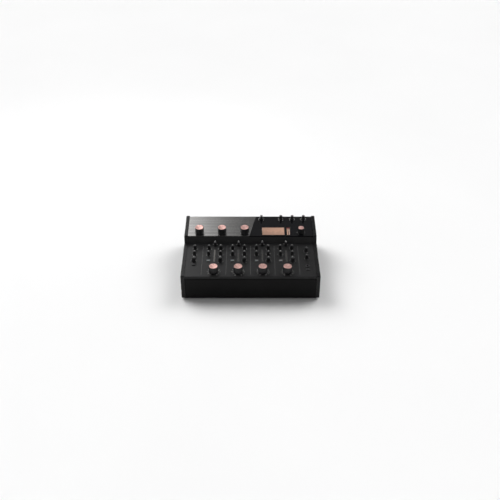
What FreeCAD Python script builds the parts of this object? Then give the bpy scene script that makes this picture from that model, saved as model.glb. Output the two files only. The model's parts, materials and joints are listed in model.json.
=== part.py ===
# A rotary DJ mixer, modelled the way it is put together.  Sizes are in millimetres.
# Frame: origin on the table under the middle of the case, +X right, +Y to the back, +Z up.
import FreeCAD
import Part

import math
import os

from collections import namedtuple
from FreeCAD import Placement, Rotation, Vector

# Case
WIDTH = 435.0            # over both cheeks
DEPTH = 305.0            # front face to the back edges of the cheeks
GROUND_GAP = 6.0         # table to the underside of the tray
DECK_HEIGHT = 89.0       # table to the face of the deck
DECK_LENGTH = 183.0      # front face to the foot of the riser
RISER_HEIGHT = 22.0      # deck to the front edge of the bridge
RISER_LEAN = 9.0         # how far the riser leans back
BRIDGE_TILT = 3.0        # degrees, the back edge is the higher one
BRIDGE_SETBACK = 4.0     # back edges of the cheeks to the back edge of the bridge
REAR_RECESS = 10.0       # back edges of the cheeks to the face of the rear panel
CHEEK = 11.0             # thickness of a cheek
CHEEK_PROUD = 2.0        # cheek above the panels
CHEEK_ROUND = 2.0        # round of a cheek's outer edges
SCREW_RECESS = 4.4       # radius of the recesses for the heads of the cheeks' screws
SCREW_DEPTH = 3.2        # depth of those recesses
SCREW_INSET = 16.0       # screws from the edges of a cheek
SKIRT = 1.0              # front panel and cheeks below the underside of the tray
COVER_SHEET = 1.6        # sheet of the deck panel
TRAY_SHEET = 1.5
REAR_SHEET = 2.5
FRONT_PLATE = 5.0
FRONT_INSET = 0.5        # face of the front panel behind the deck's lip
BRIDGE_PLATE = 3.0       # the two panels of the bridge
LIP = 6.0                # lip at the front of the deck
LIP_BEND = 3.0           # outer radius of the lip's bend
FOLD = 2.0               # outer radius of the other bends
SHADOW_GAP = 3.0         # lip to the top of the front panel's face
FLANGE = 12.0            # rims that panels rest on
SEAM = 0.3               # gap between neighbouring panels
FOOT_RADIUS = 11.0
FOOT_SCREW = 2.2         # radius of the screw hole
FOOT_INSET = 24.0        # foot's axis from the edges of the tray
VENTS = 13               # slots in a row
VENT_WIDTH = 3.0
VENT_LENGTH = 46.0
VENT_PITCH = 7.0
VENT_FRONT = 70.0        # front face to the first of the two rows
VENT_GAP = 14.0          # between the rows

# Deck layout, measured back from the front face
CHANNELS = 4
CHANNEL_PITCH = 77.0
COLUMN = 19.0            # middle of a channel to each of its two columns
LEVEL_ROW = 27.0
FRONT_ROW = 84.0
ROW_PITCH = 33.0
SELECTOR_GAP = 12.0      # input selectors to the foot of the riser
METER_WIDTH = 6.0
METER_LENGTH = 66.0
METER_GAP = 25.0         # input selector to the end of the meter
MIC_BUTTON_ROW = 64.0
PHONES_ROW = 98.0
PHONES_PITCH = 39.0
JACK_ROW = 57.0
JACK_PITCH = 18.0

# Bridge layout, measured from its edges
ISOLATOR_ROW = 19.0      # from the front edge
ISOLATOR_MARGIN = 38.5   # left edge to the first isolator knob
JOINT_FRONT = -4.0       # X of the joint between the two panels, at the front edge
JOINT_BACK = 18.0        # and at the back edge
JOINT_MARGIN = 15.0      # joint to the last isolator knob
MASTER_MARGIN = 39.5     # right edge to the master knob
DISPLAY_GAP = 33.0       # master knob to the meter window beside the display
DISPLAY_WIDTH = 79.0
DISPLAY_LENGTH = 46.0
DISPLAY_MARGIN = 4.5     # from the front edge
BAR_WIDTH = 16.0         # master meter window
BAR_GAP = 3.0            # between the two windows
EFFECT_ROW = 16.0        # from the back edge
EFFECT_MARGIN = 28.0     # right edge to the last effect knob
EFFECT_PITCH = 38.0
EFFECT_SELECTOR = 19.0   # joint to the effect selector

# Knobs and buttons
LARGE_RADIUS = 14.5
LARGE_HEIGHT = 22.0
MASTER_RADIUS = 10.5
MASTER_HEIGHT = 20.0
SMALL_RADIUS = 5.2
SMALL_HEIGHT = 15.0
WIDE_RADIUS = 6.6        # the front row of small knobs
SELECTOR_RADIUS = 6.5
SELECTOR_HEIGHT = 14.0
KNOB_LIFT = 0.7          # panel to the foot of a knob
CAP_RIM = 1.7            # rim around the metal cap
CAP_THICKNESS = 1.4
CAP_PROUD = 0.3          # cap above the knob's rim
CAP_DISH = 0.5           # hollow of the cap's face
CROWN = 3.0              # plastic under the cap
WALL = 2.4               # wall of a hollow knob
POINTER = 1.2            # width of a pointer groove
POINTER_DEPTH = 0.4
SHAFT = 3.0              # radius
SHAFT_FLAT = 0.8         # depth of the flat on the shaft
SHAFT_PLAY = 0.1         # radial play in the bushing
SHAFT_GAP = 0.8          # radial gap in the panel
BUTTON_WIDTH = 11.0
BUTTON_LENGTH = 8.0
BUTTON_HEIGHT = 2.4
BUTTON_TRAVEL = 1.2
BUTTON_GAP = 0.25        # around the button in the panel
RIM = 1.0                # rims that hold buttons and windows under a panel

# Inside
STACK = 12.0             # underside of a panel to its board
BUSHING = 5.0            # length
BUSHING_WALL = 0.9
POT_FLOOR = 2.0          # solid end of a potentiometer's bore
SMALL_POT = 10.4         # side
LARGE_POT = 17.0
BOARD = 1.6
BOARD_MARGIN = 8.0
POST = 3.0               # radius of a board's posts
POST_HEIGHT = 9.0        # posts on the tray
PANE = 1.5               # thickness of the display windows
LEDGE = 3.0              # rim that carries a display window
MAIN_WIDTH = 310.0       # main board
MAIN_LENGTH = 85.0
MAIN_GAP = 19.0          # rear panel to the main board
CAN = 26.0               # side of a screening can
CAN_HEIGHT = 22.0
CAN_PITCH = 42.0
SUPPLY_WIDTH = 114.0     # power supply's board
SUPPLY_LENGTH = 104.0
SUPPLY_MARGIN = 20.0     # left wall of the tray to that board
SUPPLY_FRONT = 40.0      # front face to that board
CAPACITOR = 9.0          # radius
CAPACITOR_HEIGHT = 25.0
CAPACITOR_PITCH = 24.0
SINK_LENGTH = 62.0       # heat sink
SINK_HEIGHT = 28.0
SINK_BASE = 4.0
SINK_MARGIN = 14.0       # edge of the supply's board to the heat sink
FINS = 7
FIN = 2.0                # thickness
FIN_REACH = 12.0
RING_RADIUS = 38.0       # ring transformer
RING_HOLE = 10.0
RING_HEIGHT = 36.0
RING_MARGIN = 40.0       # right wall of the tray to the ring
RING_FRONT = 78.0        # front face to the ring

# Rear, heights from the table; the groups of sockets have equal gaps between them
UPPER_SOCKETS = 66.0
LOWER_SOCKETS = 46.0
SOCKET_STEP = 18.0       # ground posts below and data sockets above those rows
JACK_BORE = 3.3          # radius
JACK_DEPTH = 30.0
JACK_WALL = 3.2
MINI_JACK_BORE = 1.8
MINI_JACK_DEPTH = 15.0
PHONO_RADIUS = 4.1
PHONO_FLANGE = 2.0       # flange beyond the barrel
PHONO_REACH = 8.5
PHONO_SPACING = 9.0      # middle of a channel's group to its columns
POST_NECK = 2.0          # radius of a ground post
DATA_WIDTH = 10.0
DATA_HEIGHT = 5.0
DATA_RIM = 2.0           # frame around a data socket
PIN_SOCKET = 9.4         # radius of the three-pin sockets
PIN_SOCKET_DEPTH = 18.0
PIN_TIP = 4.6            # pin ends behind the panel's face
PIN_WALL = 1.2
PIN_RADIUS = 1.2
PIN_CIRCLE = 3.8         # radius of the circle that the pins stand on
PIN_SIDE = 3.5           # flange beyond the recess at the sides
PIN_EAR = 6.0            # and above and below it
SOCKET_FLANGE = 2.0
SOCKET_GAP = 0.3         # around a socket in the panel
INLET_WIDTH = 25.0
INLET_HEIGHT = 18.0
INLET_DEPTH = 16.0
INLET_WALL = 2.0
INLET_EAR = 11.0         # flange beyond the recess at the sides
INLET_RIM = 5.0          # and above and below it
INLET_CORNER = 5.0       # the two cut corners
BLADE_TIP = 5.0          # blade ends behind the panel's face
BLADE_SPREAD = 7.0       # middle to the outer blades
ROCKER_WIDTH = 11.0
ROCKER_HEIGHT = 18.0
ROCKER_GAP = 0.7
ROCKER_RIM = 4.0         # bezel beyond the well
ROCKER_ANGLE = 8.0       # degrees each way
ROCKER_PIVOT = 2.0       # pivot behind the panel's face
PIVOT_RADIUS = 1.5

# Places that follow from the sizes above
HALF = WIDTH / 2 - CHEEK
PANEL_HALF = HALF - SEAM
FRONT = -DEPTH / 2
TILT = math.radians(BRIDGE_TILT)
BRIDGE_START = DECK_LENGTH + RISER_LEAN
BRIDGE_LENGTH = (DEPTH - BRIDGE_SETBACK - BRIDGE_START) / math.cos(TILT)
TRAY_TOP = GROUND_GAP + TRAY_SHEET
TRAY_FRONT = FRONT_INSET + FRONT_PLATE + SEAM
REAR_FACE = DEPTH - REAR_RECESS
REAR_INSIDE = REAR_FACE - REAR_SHEET
SIDE = (HALF + CHANNELS * CHANNEL_PITCH / 2) / 2
SELECTOR_ROW = DECK_LENGTH - SELECTOR_GAP
METER_ROW = SELECTOR_ROW - METER_GAP - METER_LENGTH / 2
MASTER_X = HALF - MASTER_MARGIN
BAR_X = MASTER_X - DISPLAY_GAP - BAR_WIDTH / 2
DISPLAY_X = BAR_X - BAR_WIDTH / 2 - BAR_GAP - DISPLAY_WIDTH / 2
DISPLAY_ROW = DISPLAY_MARGIN + DISPLAY_LENGTH / 2

# A panel's frame has its origin at the middle of the front edge: x right, y back along the face, z out
DECK = Placement(Vector(0, FRONT, DECK_HEIGHT), Rotation())
BRIDGE = Placement(
    Vector(0, FRONT + BRIDGE_START, DECK_HEIGHT + RISER_HEIGHT),
    Rotation(Vector(1, 0, 0), BRIDGE_TILT),
)
# The rear frame looks out of the back: x right as seen from the front, y down, z out
REAR = Placement(Vector(0, FRONT + REAR_FACE, 0), Rotation(Vector(1, 0, 0), -90))

Control = namedtuple("Control", "name kind frame sheet x y")


def channel_x(index):
    return (index - (CHANNELS - 1) / 2) * CHANNEL_PITCH


def deck_controls():
    """Every knob and button on the deck."""
    rows = [FRONT_ROW + i * ROW_PITCH for i in range(3)]
    places = []
    for i in range(CHANNELS):
        x = channel_x(i)
        left = x - COLUMN
        right = x + COLUMN
        channel = [
            ("level_knob", "level", x, LEVEL_ROW),
            ("cue_button", "button", left, rows[0]),
            ("send_knob", "small", left, rows[1]),
            ("trim_knob", "small", left, rows[2]),
            ("low_knob", "wide", right, rows[0]),
            ("mid_knob", "small", right, rows[1]),
            ("high_knob", "small", right, rows[2]),
            ("input_selector", "selector", x, SELECTOR_ROW),
        ]
        places += [(f"channel_{i + 1}_{name}", *rest) for name, *rest in channel]
    places += [
        ("mic_level_knob", "small", -SIDE, rows[2]),
        ("mic_tone_knob", "small", -SIDE, rows[1]),
        ("booth_level_knob", "wide", -SIDE, rows[0]),
        ("mic_button", "button", -SIDE, MIC_BUTTON_ROW),
        ("phones_mix_knob", "small", SIDE, PHONES_ROW + PHONES_PITCH),
        ("phones_level_knob", "small", SIDE, PHONES_ROW),
    ]
    return [Control(name, kind, DECK, COVER_SHEET, x, y) for name, kind, x, y in places]


def bridge_controls():
    """Every knob on the raised bridge."""
    first = -HALF + ISOLATOR_MARGIN
    last = JOINT_FRONT - JOINT_MARGIN
    effects = HALF - EFFECT_MARGIN
    back = BRIDGE_LENGTH - EFFECT_ROW
    places = [
        ("isolator_low_knob", "level", first, ISOLATOR_ROW),
        ("isolator_mid_knob", "level", (first + last) / 2, ISOLATOR_ROW),
        ("isolator_high_knob", "level", last, ISOLATOR_ROW),
        ("master_level_knob", "master", MASTER_X, ISOLATOR_ROW),
        ("effect_selector", "selector", JOINT_BACK + EFFECT_SELECTOR, back),
        ("effect_time_knob", "small", effects - 2 * EFFECT_PITCH, back),
        ("effect_tone_knob", "small", effects - EFFECT_PITCH, back),
        ("effect_return_knob", "small", effects, back),
    ]
    return [Control(name, kind, BRIDGE, BRIDGE_PLATE, x, y) for name, kind, x, y in places]


def on(frame, x, y, z=0.0):
    """Place on a panel's frame."""
    return frame.multiply(Placement(Vector(x, y, z), Rotation()))


def moved(shape, place):
    return shape.transformed(place.toMatrix(), True)


def rounded_edges(points, radii):
    """Edges along the points, with every corner between the ends rounded by a tangent arc."""
    edges = []
    start = points[0]
    for before, corner, after, radius in zip(points, points[1:], points[2:], radii):
        end = corner
        if radius > 0:
            back = (before - corner).normalize()
            ahead = (after - corner).normalize()
            half = back.getAngle(ahead) / 2
            run = radius / math.tan(half)
            end = corner + back * run
            middle = corner + (back + ahead).normalize() * (radius / math.sin(half) - radius)
            arc = Part.Arc(end, middle, corner + ahead * run).toShape()
        edges.append(Part.makeLine(start, end))
        start = end
        if radius > 0:
            edges.append(arc)
            start = corner + ahead * run
    edges.append(Part.makeLine(start, points[-1]))
    return edges


def outline(points, radii):
    """A face inside the closed row of points, each corner rounded to its radius."""
    middle = (points[-1] + points[0]) * 0.5
    return Part.Face(Part.Wire(rounded_edges([middle, *points, middle], radii)))


def side_point(y, z):
    """A point of the side view, y from the front face and z from the table."""
    return Vector(0, FRONT + y, z)


def beside(points, distance):
    """The row of side-view points moved to the left of its direction by a distance."""
    steps = [(b - a).normalize() for a, b in zip(points, points[1:])]
    normals = [Vector(0, -step.z, step.y) for step in steps]
    result = [points[0] + normals[0] * distance]
    for corner, before, after in zip(points[1:], normals, normals[1:]):
        bisector = (before + after).normalize()
        result.append(corner + bisector * (distance / bisector.dot(before)))
    result.append(points[-1] + normals[-1] * distance)
    return result


def turned(points, radii=None):
    """A solid turned about Z from a closed outline of (radius, height) corners."""
    corners = [Vector(r, 0, z) for r, z in points]
    face = outline(corners, radii or [0] * len(corners))
    return face.revolve(Vector(0, 0, 0), Vector(0, 0, 1), 360)


def block(width, length, bottom, top, corner=0.0):
    """An upright block about the Z axis, with rounded corners."""
    x = width / 2
    y = length / 2
    points = [Vector(-x, -y, bottom), Vector(x, -y, bottom), Vector(x, y, bottom), Vector(-x, y, bottom)]
    return outline(points, [corner] * 4).extrude(Vector(0, 0, top - bottom))


def rod(radius, bottom, top, x=0.0, y=0.0):
    return Part.makeCylinder(radius, top - bottom, Vector(x, y, bottom))


def edges_at(shape, axis, place):
    """Edges that lie at one place along the X or the Z axis."""
    found = []
    for edge in shape.Edges:
        box = edge.BoundBox
        ends = (box.XMin, box.XMax) if axis == "X" else (box.ZMin, box.ZMax)
        if all(abs(end - place) < 1e-6 for end in ends):
            found.append(edge)
    return found


def bridge_underside(y):
    """Height of the underside of the bridge's panels, y back from the front face."""
    rise = (y - BRIDGE_START) * math.tan(TILT)
    return DECK_HEIGHT + RISER_HEIGHT + rise - BRIDGE_PLATE / math.cos(TILT)


def bridge_point(y, z):
    """Side-view point of the bridge's frame."""
    return BRIDGE.multVec(Vector(0, y, z))


def flutes(count, radius, depth, groove, bottom, top):
    """Rods that cut grooves of a given depth down a barrel."""
    ring = radius - depth + groove
    rods = []
    for i in range(count):
        turn = 2 * math.pi * (i + 0.5) / count
        rods.append(rod(groove, bottom, top, ring * math.sin(turn), ring * math.cos(turn)))
    return Part.makeCompound(rods)


def pointer(radius, height):
    """Groove from the middle of a knob's top to its back edge and down the side."""
    across = block(POINTER, radius, height - POINTER_DEPTH, height + 1)
    down = block(POINTER, 2, height * 0.4, height + 1)
    middle = Vector(0, radius * 0.85, 0)
    side = Vector(0, radius - POINTER_DEPTH + 1, 0)
    return across.translated(middle).fuse(down.translated(side))


def shaft(sheet, top):
    """Shaft from inside the potentiometer up into the knob, with a flat where the knob grips it."""
    bottom = POT_FLOOR + SHAFT_PLAY - sheet - STACK
    flat = Part.makeBox(2 * SHAFT, SHAFT, top, Vector(-SHAFT, SHAFT - SHAFT_FLAT, KNOB_LIFT + 1))
    return rod(SHAFT, bottom, top).cut(flat)


def capped_knob(radius, height, sheet):
    """A hollow fluted knob with a dished metal cap let into its top."""
    cap = radius - CAP_RIM
    seat = height - CAP_THICKNESS
    ceiling = seat - CROWN
    inside = radius - WALL
    hub = SHAFT + WALL
    grip = turned(
        [
            (0, KNOB_LIFT + 1), (hub, KNOB_LIFT + 1), (hub, ceiling), (inside, ceiling),
            (inside, KNOB_LIFT), (radius, KNOB_LIFT), (radius, KNOB_LIFT + 2), (radius - 0.6, height),
            (cap, height), (cap, seat), (0, seat),
        ],
        [0, 0, 0, 0, 0, 0.4, 0, 0.5, 0.2, 0, 0],
    )
    count = 4 * round(radius * 0.6)
    grip = grip.cut(flutes(count, radius, 0.5, 1.0, KNOB_LIFT + 2, height + 1))
    top = height + CAP_PROUD
    disc = turned(
        [(0, seat), (cap, seat), (cap, top), (cap * 0.85, top), (0, top - CAP_DISH)],
        [0, 0, 0.4, cap * 0.5, 0],
    )
    groove = block(POINTER, cap * 0.5, top - POINTER_DEPTH, top + 1)
    disc = disc.cut(groove.translated(Vector(0, cap * 0.85, 0)))
    axle = shaft(sheet, ceiling - 1)
    return [grip.cut(axle), disc, axle]


def plain_knob(radius, height, sheet):
    """A slim fluted knob with a flared foot, a rounded crown and a pointer groove."""
    foot = radius + 0.5
    top = radius - 0.5
    grip = turned(
        [
            (0, KNOB_LIFT), (foot, KNOB_LIFT), (foot, KNOB_LIFT + 1.2), (radius, KNOB_LIFT + 2.2),
            (top, height), (top * 0.6, height), (0, height - 0.3),
        ],
        [0, 0.2, 0.3, 0.8, 0.9, 0, 0],
    )
    grip = grip.cut(flutes(4 * round(radius * 0.6), radius, 0.45, 0.8, KNOB_LIFT + 3, height - 1.5))
    grip = grip.cut(pointer(top, height))
    axle = shaft(sheet, height - 4)
    return [grip.cut(axle), axle]


def selector_knob(sheet):
    """A round base with a rounded bar across it, for a stepped switch."""
    height = SELECTOR_HEIGHT
    base = turned(
        [(0, KNOB_LIFT), (SELECTOR_RADIUS, KNOB_LIFT), (SELECTOR_RADIUS, height * 0.35), (0, height * 0.35)],
        [0, 0.2, 1.0, 0],
    )
    width = SHAFT * 2 + 1.6
    bar = block(width, 2 * SELECTOR_RADIUS - 0.4, height * 0.3, height, width / 2 - 0.6)
    bar = bar.makeFillet(0.7, edges_at(bar, "Z", height))
    base = base.fuse(bar).removeSplitter()
    base = base.cut(pointer(SELECTOR_RADIUS - 0.4, height))
    axle = shaft(sheet, height - 4)
    return [base.cut(axle), axle]


def switch_top(sheet):
    """Height of the switch under a button, which leaves room for the travel."""
    return -sheet - 2 * RIM - 2 - BUTTON_TRAVEL - SHAFT_PLAY


def button(sheet):
    """A push button with rounded edges, a rim that keeps it under the panel and a stem over its switch."""
    rim_top = -sheet - SHAFT_PLAY
    cap = block(BUTTON_WIDTH, BUTTON_LENGTH, rim_top - RIM, BUTTON_HEIGHT, 1.2)
    cap = cap.makeFillet(0.6, edges_at(cap, "Z", BUTTON_HEIGHT))
    rim = block(BUTTON_WIDTH + 2 * RIM, BUTTON_LENGTH + 2 * RIM, rim_top - RIM, rim_top, 1.2)
    stem = rod(2.0, switch_top(sheet) + BUTTON_TRAVEL + SHAFT_PLAY, rim_top)
    return [cap.fuse([rim, stem]).removeSplitter()]


def make_control(kind, sheet):
    """The solids of one control, in the frame of its panel."""
    makers = {
        "level": lambda: capped_knob(LARGE_RADIUS, LARGE_HEIGHT, sheet),
        "master": lambda: capped_knob(MASTER_RADIUS, MASTER_HEIGHT, sheet),
        "small": lambda: plain_knob(SMALL_RADIUS, SMALL_HEIGHT, sheet),
        "wide": lambda: plain_knob(WIDE_RADIUS, SMALL_HEIGHT, sheet),
        "selector": lambda: selector_knob(sheet),
        "button": lambda: button(sheet),
    }
    return makers[kind]()


def panel_hole(control):
    """What a control cuts out of its panel."""
    if control.kind == "button":
        gap = 2 * BUTTON_GAP
        hole = block(BUTTON_WIDTH + gap, BUTTON_LENGTH + gap, -control.sheet - 1, 1, 1.2 + BUTTON_GAP)
    else:
        hole = rod(SHAFT + SHAFT_GAP, -control.sheet - 1, 1)
    return moved(hole, on(control.frame, control.x, control.y))


def potentiometer(control):
    """The part of a control that is soldered to the board under its panel."""
    top = -control.sheet
    bottom = top - STACK
    if control.kind == "button":
        switch = block(7, 7, bottom, bottom + 3, 0.5).fuse(rod(2.5, bottom, switch_top(control.sheet)))
        return moved(switch.removeSplitter(), on(control.frame, control.x, control.y))
    side = LARGE_POT if control.kind in ("level", "master") else SMALL_POT
    bore = SHAFT + SHAFT_PLAY
    body = block(side, side, bottom, top - BUSHING, 0.8)
    body = body.fuse(rod(bore + BUSHING_WALL, top - BUSHING - 1, top)).removeSplitter()
    body = body.cut(rod(bore, bottom + POT_FLOOR, top + 1))
    return moved(body, on(control.frame, control.x, control.y))


def deck_profile():
    """Side view of the deck's face: lip, deck, riser and the flange under the bridge."""
    return [
        side_point(0, DECK_HEIGHT - LIP),
        side_point(0, DECK_HEIGHT),
        side_point(DECK_LENGTH, DECK_HEIGHT),
        bridge_point(0, -BRIDGE_PLATE),
        bridge_point(FLANGE, -BRIDGE_PLATE),
    ]


def deck_panel(controls):
    """Folded sheet with its holes; the flange is cut away in front of the display."""
    face = deck_profile()
    back = beside(face, -COVER_SHEET)
    outer = rounded_edges(face, [LIP_BEND, FOLD, FOLD])
    inner = rounded_edges(back, [LIP_BEND - COVER_SHEET, FOLD + COVER_SHEET, FOLD - COVER_SHEET])
    ends = [Part.makeLine(face[0], back[0]), Part.makeLine(face[-1], back[-1])]
    wire = Part.Wire(Part.__sortEdges__(outer + inner + ends))
    sheet = Part.Face(wire).extrude(Vector(2 * PANEL_HALF, 0, 0)).translated(Vector(-PANEL_HALF, 0, 0))
    width = DISPLAY_WIDTH + BAR_GAP + BAR_WIDTH + 4
    middle = (DISPLAY_X - DISPLAY_WIDTH / 2 + BAR_X + BAR_WIDTH / 2) / 2
    notch = block(width, 2 * FLANGE, -BRIDGE_PLATE - 2 * COVER_SHEET, -BRIDGE_PLATE + 1)
    cuts = [moved(notch, on(BRIDGE, middle, FLANGE + DISPLAY_MARGIN - 1))]
    cuts += [panel_hole(c) for c in controls]
    slot = block(METER_WIDTH, METER_LENGTH, -COVER_SHEET - 1, 1, 1.0)
    cuts += [moved(slot, on(DECK, channel_x(i), METER_ROW)) for i in range(CHANNELS)]
    for bore, y in deck_jacks():
        cuts.append(moved(rod(bore + JACK_WALL / 2 + SOCKET_GAP, -COVER_SHEET - 1, 1), on(DECK, SIDE, y)))
    return sheet.cut(cuts)


def bridge_panel(corners, controls, windows=()):
    """One plate of the bridge with its knob holes and the stepped openings for its windows."""
    points = [Vector(x, y, 0) for x, y in corners]
    plate = outline(points, [0] * 4).extrude(Vector(0, 0, -BRIDGE_PLATE))
    plate = plate.makeChamfer(0.4, edges_at(plate, "Z", 0.0))
    for x, width in windows:
        rebate = block(width, DISPLAY_LENGTH, -PANE, 1, 0.8)
        opening = block(width - 2 * LEDGE, DISPLAY_LENGTH - 2 * LEDGE, -BRIDGE_PLATE - 1, 1, 0.8)
        plate = plate.cut(rebate.fuse(opening).translated(Vector(x, DISPLAY_ROW, 0)))
    return moved(plate, BRIDGE).cut([panel_hole(c) for c in controls])


def isolator_panel(controls):
    corners = [
        (-PANEL_HALF, 0),
        (JOINT_FRONT - SEAM / 2, 0),
        (JOINT_BACK - SEAM / 2, BRIDGE_LENGTH),
        (-PANEL_HALF, BRIDGE_LENGTH),
    ]
    return bridge_panel(corners, [c for c in controls if c.name.startswith("isolator")])


def effects_panel(controls):
    corners = [
        (JOINT_FRONT + SEAM / 2, 0),
        (PANEL_HALF, 0),
        (PANEL_HALF, BRIDGE_LENGTH),
        (JOINT_BACK + SEAM / 2, BRIDGE_LENGTH),
    ]
    panes = [(DISPLAY_X, DISPLAY_WIDTH), (BAR_X, BAR_WIDTH)]
    return bridge_panel(corners, [c for c in controls if not c.name.startswith("isolator")], panes)


def windows():
    """Display pane, master meter pane and the channels' meter strips."""
    solids = []
    gap = SEAM / 2
    for x, width in [(DISPLAY_X, DISPLAY_WIDTH), (BAR_X, BAR_WIDTH)]:
        pane = block(width - 2 * gap, DISPLAY_LENGTH - 2 * gap, -PANE, 0, 0.8)
        solids.append(moved(pane, on(BRIDGE, x, DISPLAY_ROW)))
    for i in range(CHANNELS):
        strip = block(METER_WIDTH - 2 * gap, METER_LENGTH - 2 * gap, -COVER_SHEET - RIM, 0, 0.8)
        rim = block(METER_WIDTH + 2 * RIM, METER_LENGTH + 2 * RIM, -COVER_SHEET - RIM, -COVER_SHEET, 0.8)
        solids.append(moved(strip.fuse(rim).removeSplitter(), on(DECK, channel_x(i), METER_ROW)))
    return solids


def cheek(side):
    """A stepped side plate; side is -1 for the left one and 1 for the right one."""
    face = deck_profile()[1:3] + [bridge_point(0, 0), bridge_point(BRIDGE_LENGTH, 0)]
    top = beside(face, CHEEK_PROUD)
    bottom = GROUND_GAP - SKIRT
    rise = (BRIDGE_SETBACK + CHEEK_PROUD * math.sin(TILT)) * math.tan(TILT)
    points = [
        side_point(0, bottom), *top[:-1],
        side_point(DEPTH, top[-1].z + rise), side_point(DEPTH, bottom),
    ]
    radii = [3, 4, 6, 4, 4, 3]
    plate = outline(points, radii).extrude(Vector(side * CHEEK, 0, 0)).translated(Vector(side * HALF, 0, 0))
    plate = plate.makeFillet(CHEEK_ROUND, edges_at(plate, "X", side * WIDTH / 2))
    recesses = []
    for y, z in cheek_screws():
        floor = side_point(y, z) + Vector(side * (WIDTH / 2 - SCREW_DEPTH), 0, 0)
        recesses.append(Part.makeCylinder(SCREW_RECESS, SCREW_DEPTH + 1, floor, Vector(side, 0, 0)))
    return plate.cut(recesses)


def cheek_screws():
    """Side-view places of a cheek's screws: three along the bottom and one at each end of the top."""
    low = GROUND_GAP + SCREW_INSET
    back = DEPTH - SCREW_INSET
    return [
        (SCREW_INSET, low), (DEPTH / 2, low), (back, low),
        (SCREW_INSET, DECK_HEIGHT - SCREW_INSET), (back, DECK_HEIGHT + RISER_HEIGHT - SCREW_INSET),
    ]


def front_panel():
    """Plate with a rabbet that leaves a shadow line under the deck's lip, and a flange on the tray."""
    face = FRONT_INSET
    back = FRONT_INSET + FRONT_PLATE
    rabbet = LIP_BEND + SEAM
    bottom = GROUND_GAP - SKIRT
    top = DECK_HEIGHT - LIP - SHADOW_GAP
    points = [
        side_point(face, bottom), side_point(face, top), side_point(rabbet, top),
        side_point(rabbet, DECK_HEIGHT - COVER_SHEET), side_point(back, DECK_HEIGHT - COVER_SHEET),
        side_point(back, bottom),
    ]
    plate = outline(points, [0.8, 0.8, 0, 0, 0, 0]).extrude(Vector(2 * PANEL_HALF, 0, 0))
    plate = plate.translated(Vector(-PANEL_HALF, 0, 0))
    reach = HALF - TRAY_SHEET - SEAM
    flange = Part.makeBox(2 * reach, FLANGE + 1, TRAY_SHEET, Vector(-reach, FRONT + back - 1, TRAY_TOP))
    return plate.fuse(flange).removeSplitter()


def tray_wall(side):
    """A side wall whose top edge carries the deck and the bridge."""
    deck = DECK_HEIGHT - COVER_SHEET
    step = BRIDGE_START + FLANGE + 2
    points = [
        side_point(TRAY_FRONT, GROUND_GAP), side_point(TRAY_FRONT, deck), side_point(step, deck),
        side_point(step, bridge_underside(step)), side_point(REAR_INSIDE, bridge_underside(REAR_INSIDE)),
        side_point(REAR_INSIDE, GROUND_GAP),
    ]
    wall = outline(points, [0] * 6).extrude(Vector(-side * TRAY_SHEET, 0, 0))
    return wall.translated(Vector(side * HALF, 0, 0))


def foot_places():
    x = HALF - FOOT_INSET
    ys = (FRONT + FOOT_INSET, FRONT + REAR_INSIDE - FOOT_INSET)
    return [(sx * x, y) for sx in (-1, 1) for y in ys]


def base_tray():
    """Folded tray with side walls, rows of vents and the feet's screw holes."""
    length = REAR_INSIDE - TRAY_FRONT
    floor = Part.makeBox(2 * HALF, length, TRAY_SHEET, Vector(-HALF, FRONT + TRAY_FRONT, GROUND_GAP))
    tray = floor.fuse([tray_wall(-1), tray_wall(1)]).removeSplitter()
    vent = block(VENT_WIDTH, VENT_LENGTH, GROUND_GAP - 1, TRAY_TOP + 1, VENT_WIDTH / 2 - 0.1)
    cuts = []
    for row in range(2):
        y = FRONT + VENT_FRONT + VENT_LENGTH / 2 + row * (VENT_LENGTH + VENT_GAP)
        for i in range(VENTS):
            cuts.append(vent.translated(Vector((i - (VENTS - 1) / 2) * VENT_PITCH, y, 0)))
    cuts += [rod(FOOT_SCREW, GROUND_GAP - 1, TRAY_TOP + 1, x, y) for x, y in foot_places()]
    return tray.cut(cuts)


def rubber_foot():
    """A tapered foot with a sunk hole for its screw."""
    r = FOOT_RADIUS
    return turned(
        [
            (FOOT_SCREW, GROUND_GAP), (FOOT_SCREW, GROUND_GAP / 2), (2 * FOOT_SCREW, GROUND_GAP / 2),
            (2 * FOOT_SCREW, 0), (r - 1, 0), (r, GROUND_GAP),
        ],
        [0, 0, 0, 0, 1.0, 0],
    )


def rear_sockets():
    """Every rear socket as (kind, x, height), in groups from left to right with equal gaps."""
    middle = (UPPER_SOCKETS + LOWER_SOCKETS) / 2
    rows = (UPPER_SOCKETS, LOWER_SOCKETS)
    ground = ("ground", 0, LOWER_SOCKETS - SOCKET_STEP)
    data = ("data", 0, UPPER_SOCKETS + SOCKET_STEP)
    phono = 2 * (PHONO_RADIUS + PHONO_FLANGE)
    column = max(phono, 2 * (JACK_BORE + JACK_WALL), DATA_WIDTH + 2 * DATA_RIM)
    pins = 2 * (PIN_SOCKET + PIN_SIDE)
    pair = [("phono", dx, z) for dx in (-PHONO_SPACING, PHONO_SPACING) for z in rows]
    groups = [
        (INLET_WIDTH + 2 * INLET_EAR, [("inlet", 0, middle)]),
        (ROCKER_WIDTH + 2 * (ROCKER_GAP + ROCKER_RIM), [("switch", 0, middle)]),
        (pins, [("mic", 0, middle)]),
    ]
    groups += [(2 * PHONO_SPACING + phono, pair + [ground] * (i % 2)) for i in range(CHANNELS)]
    groups += [
        (column, [("phono", 0, z) for z in rows] + [data]),
        (column, [("jack", 0, z) for z in rows] + [data]),
        (pins, [("outlet", 0, middle)]),
        (pins, [("outlet", 0, middle)]),
    ]
    gap = (2 * PANEL_HALF - sum(width for width, places in groups)) / (len(groups) + 1)
    left = gap - PANEL_HALF
    spots = []
    for width, places in groups:
        spots += [(kind, left + width / 2 + dx, z) for kind, dx, z in places]
        left += width + gap
    return spots


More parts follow.
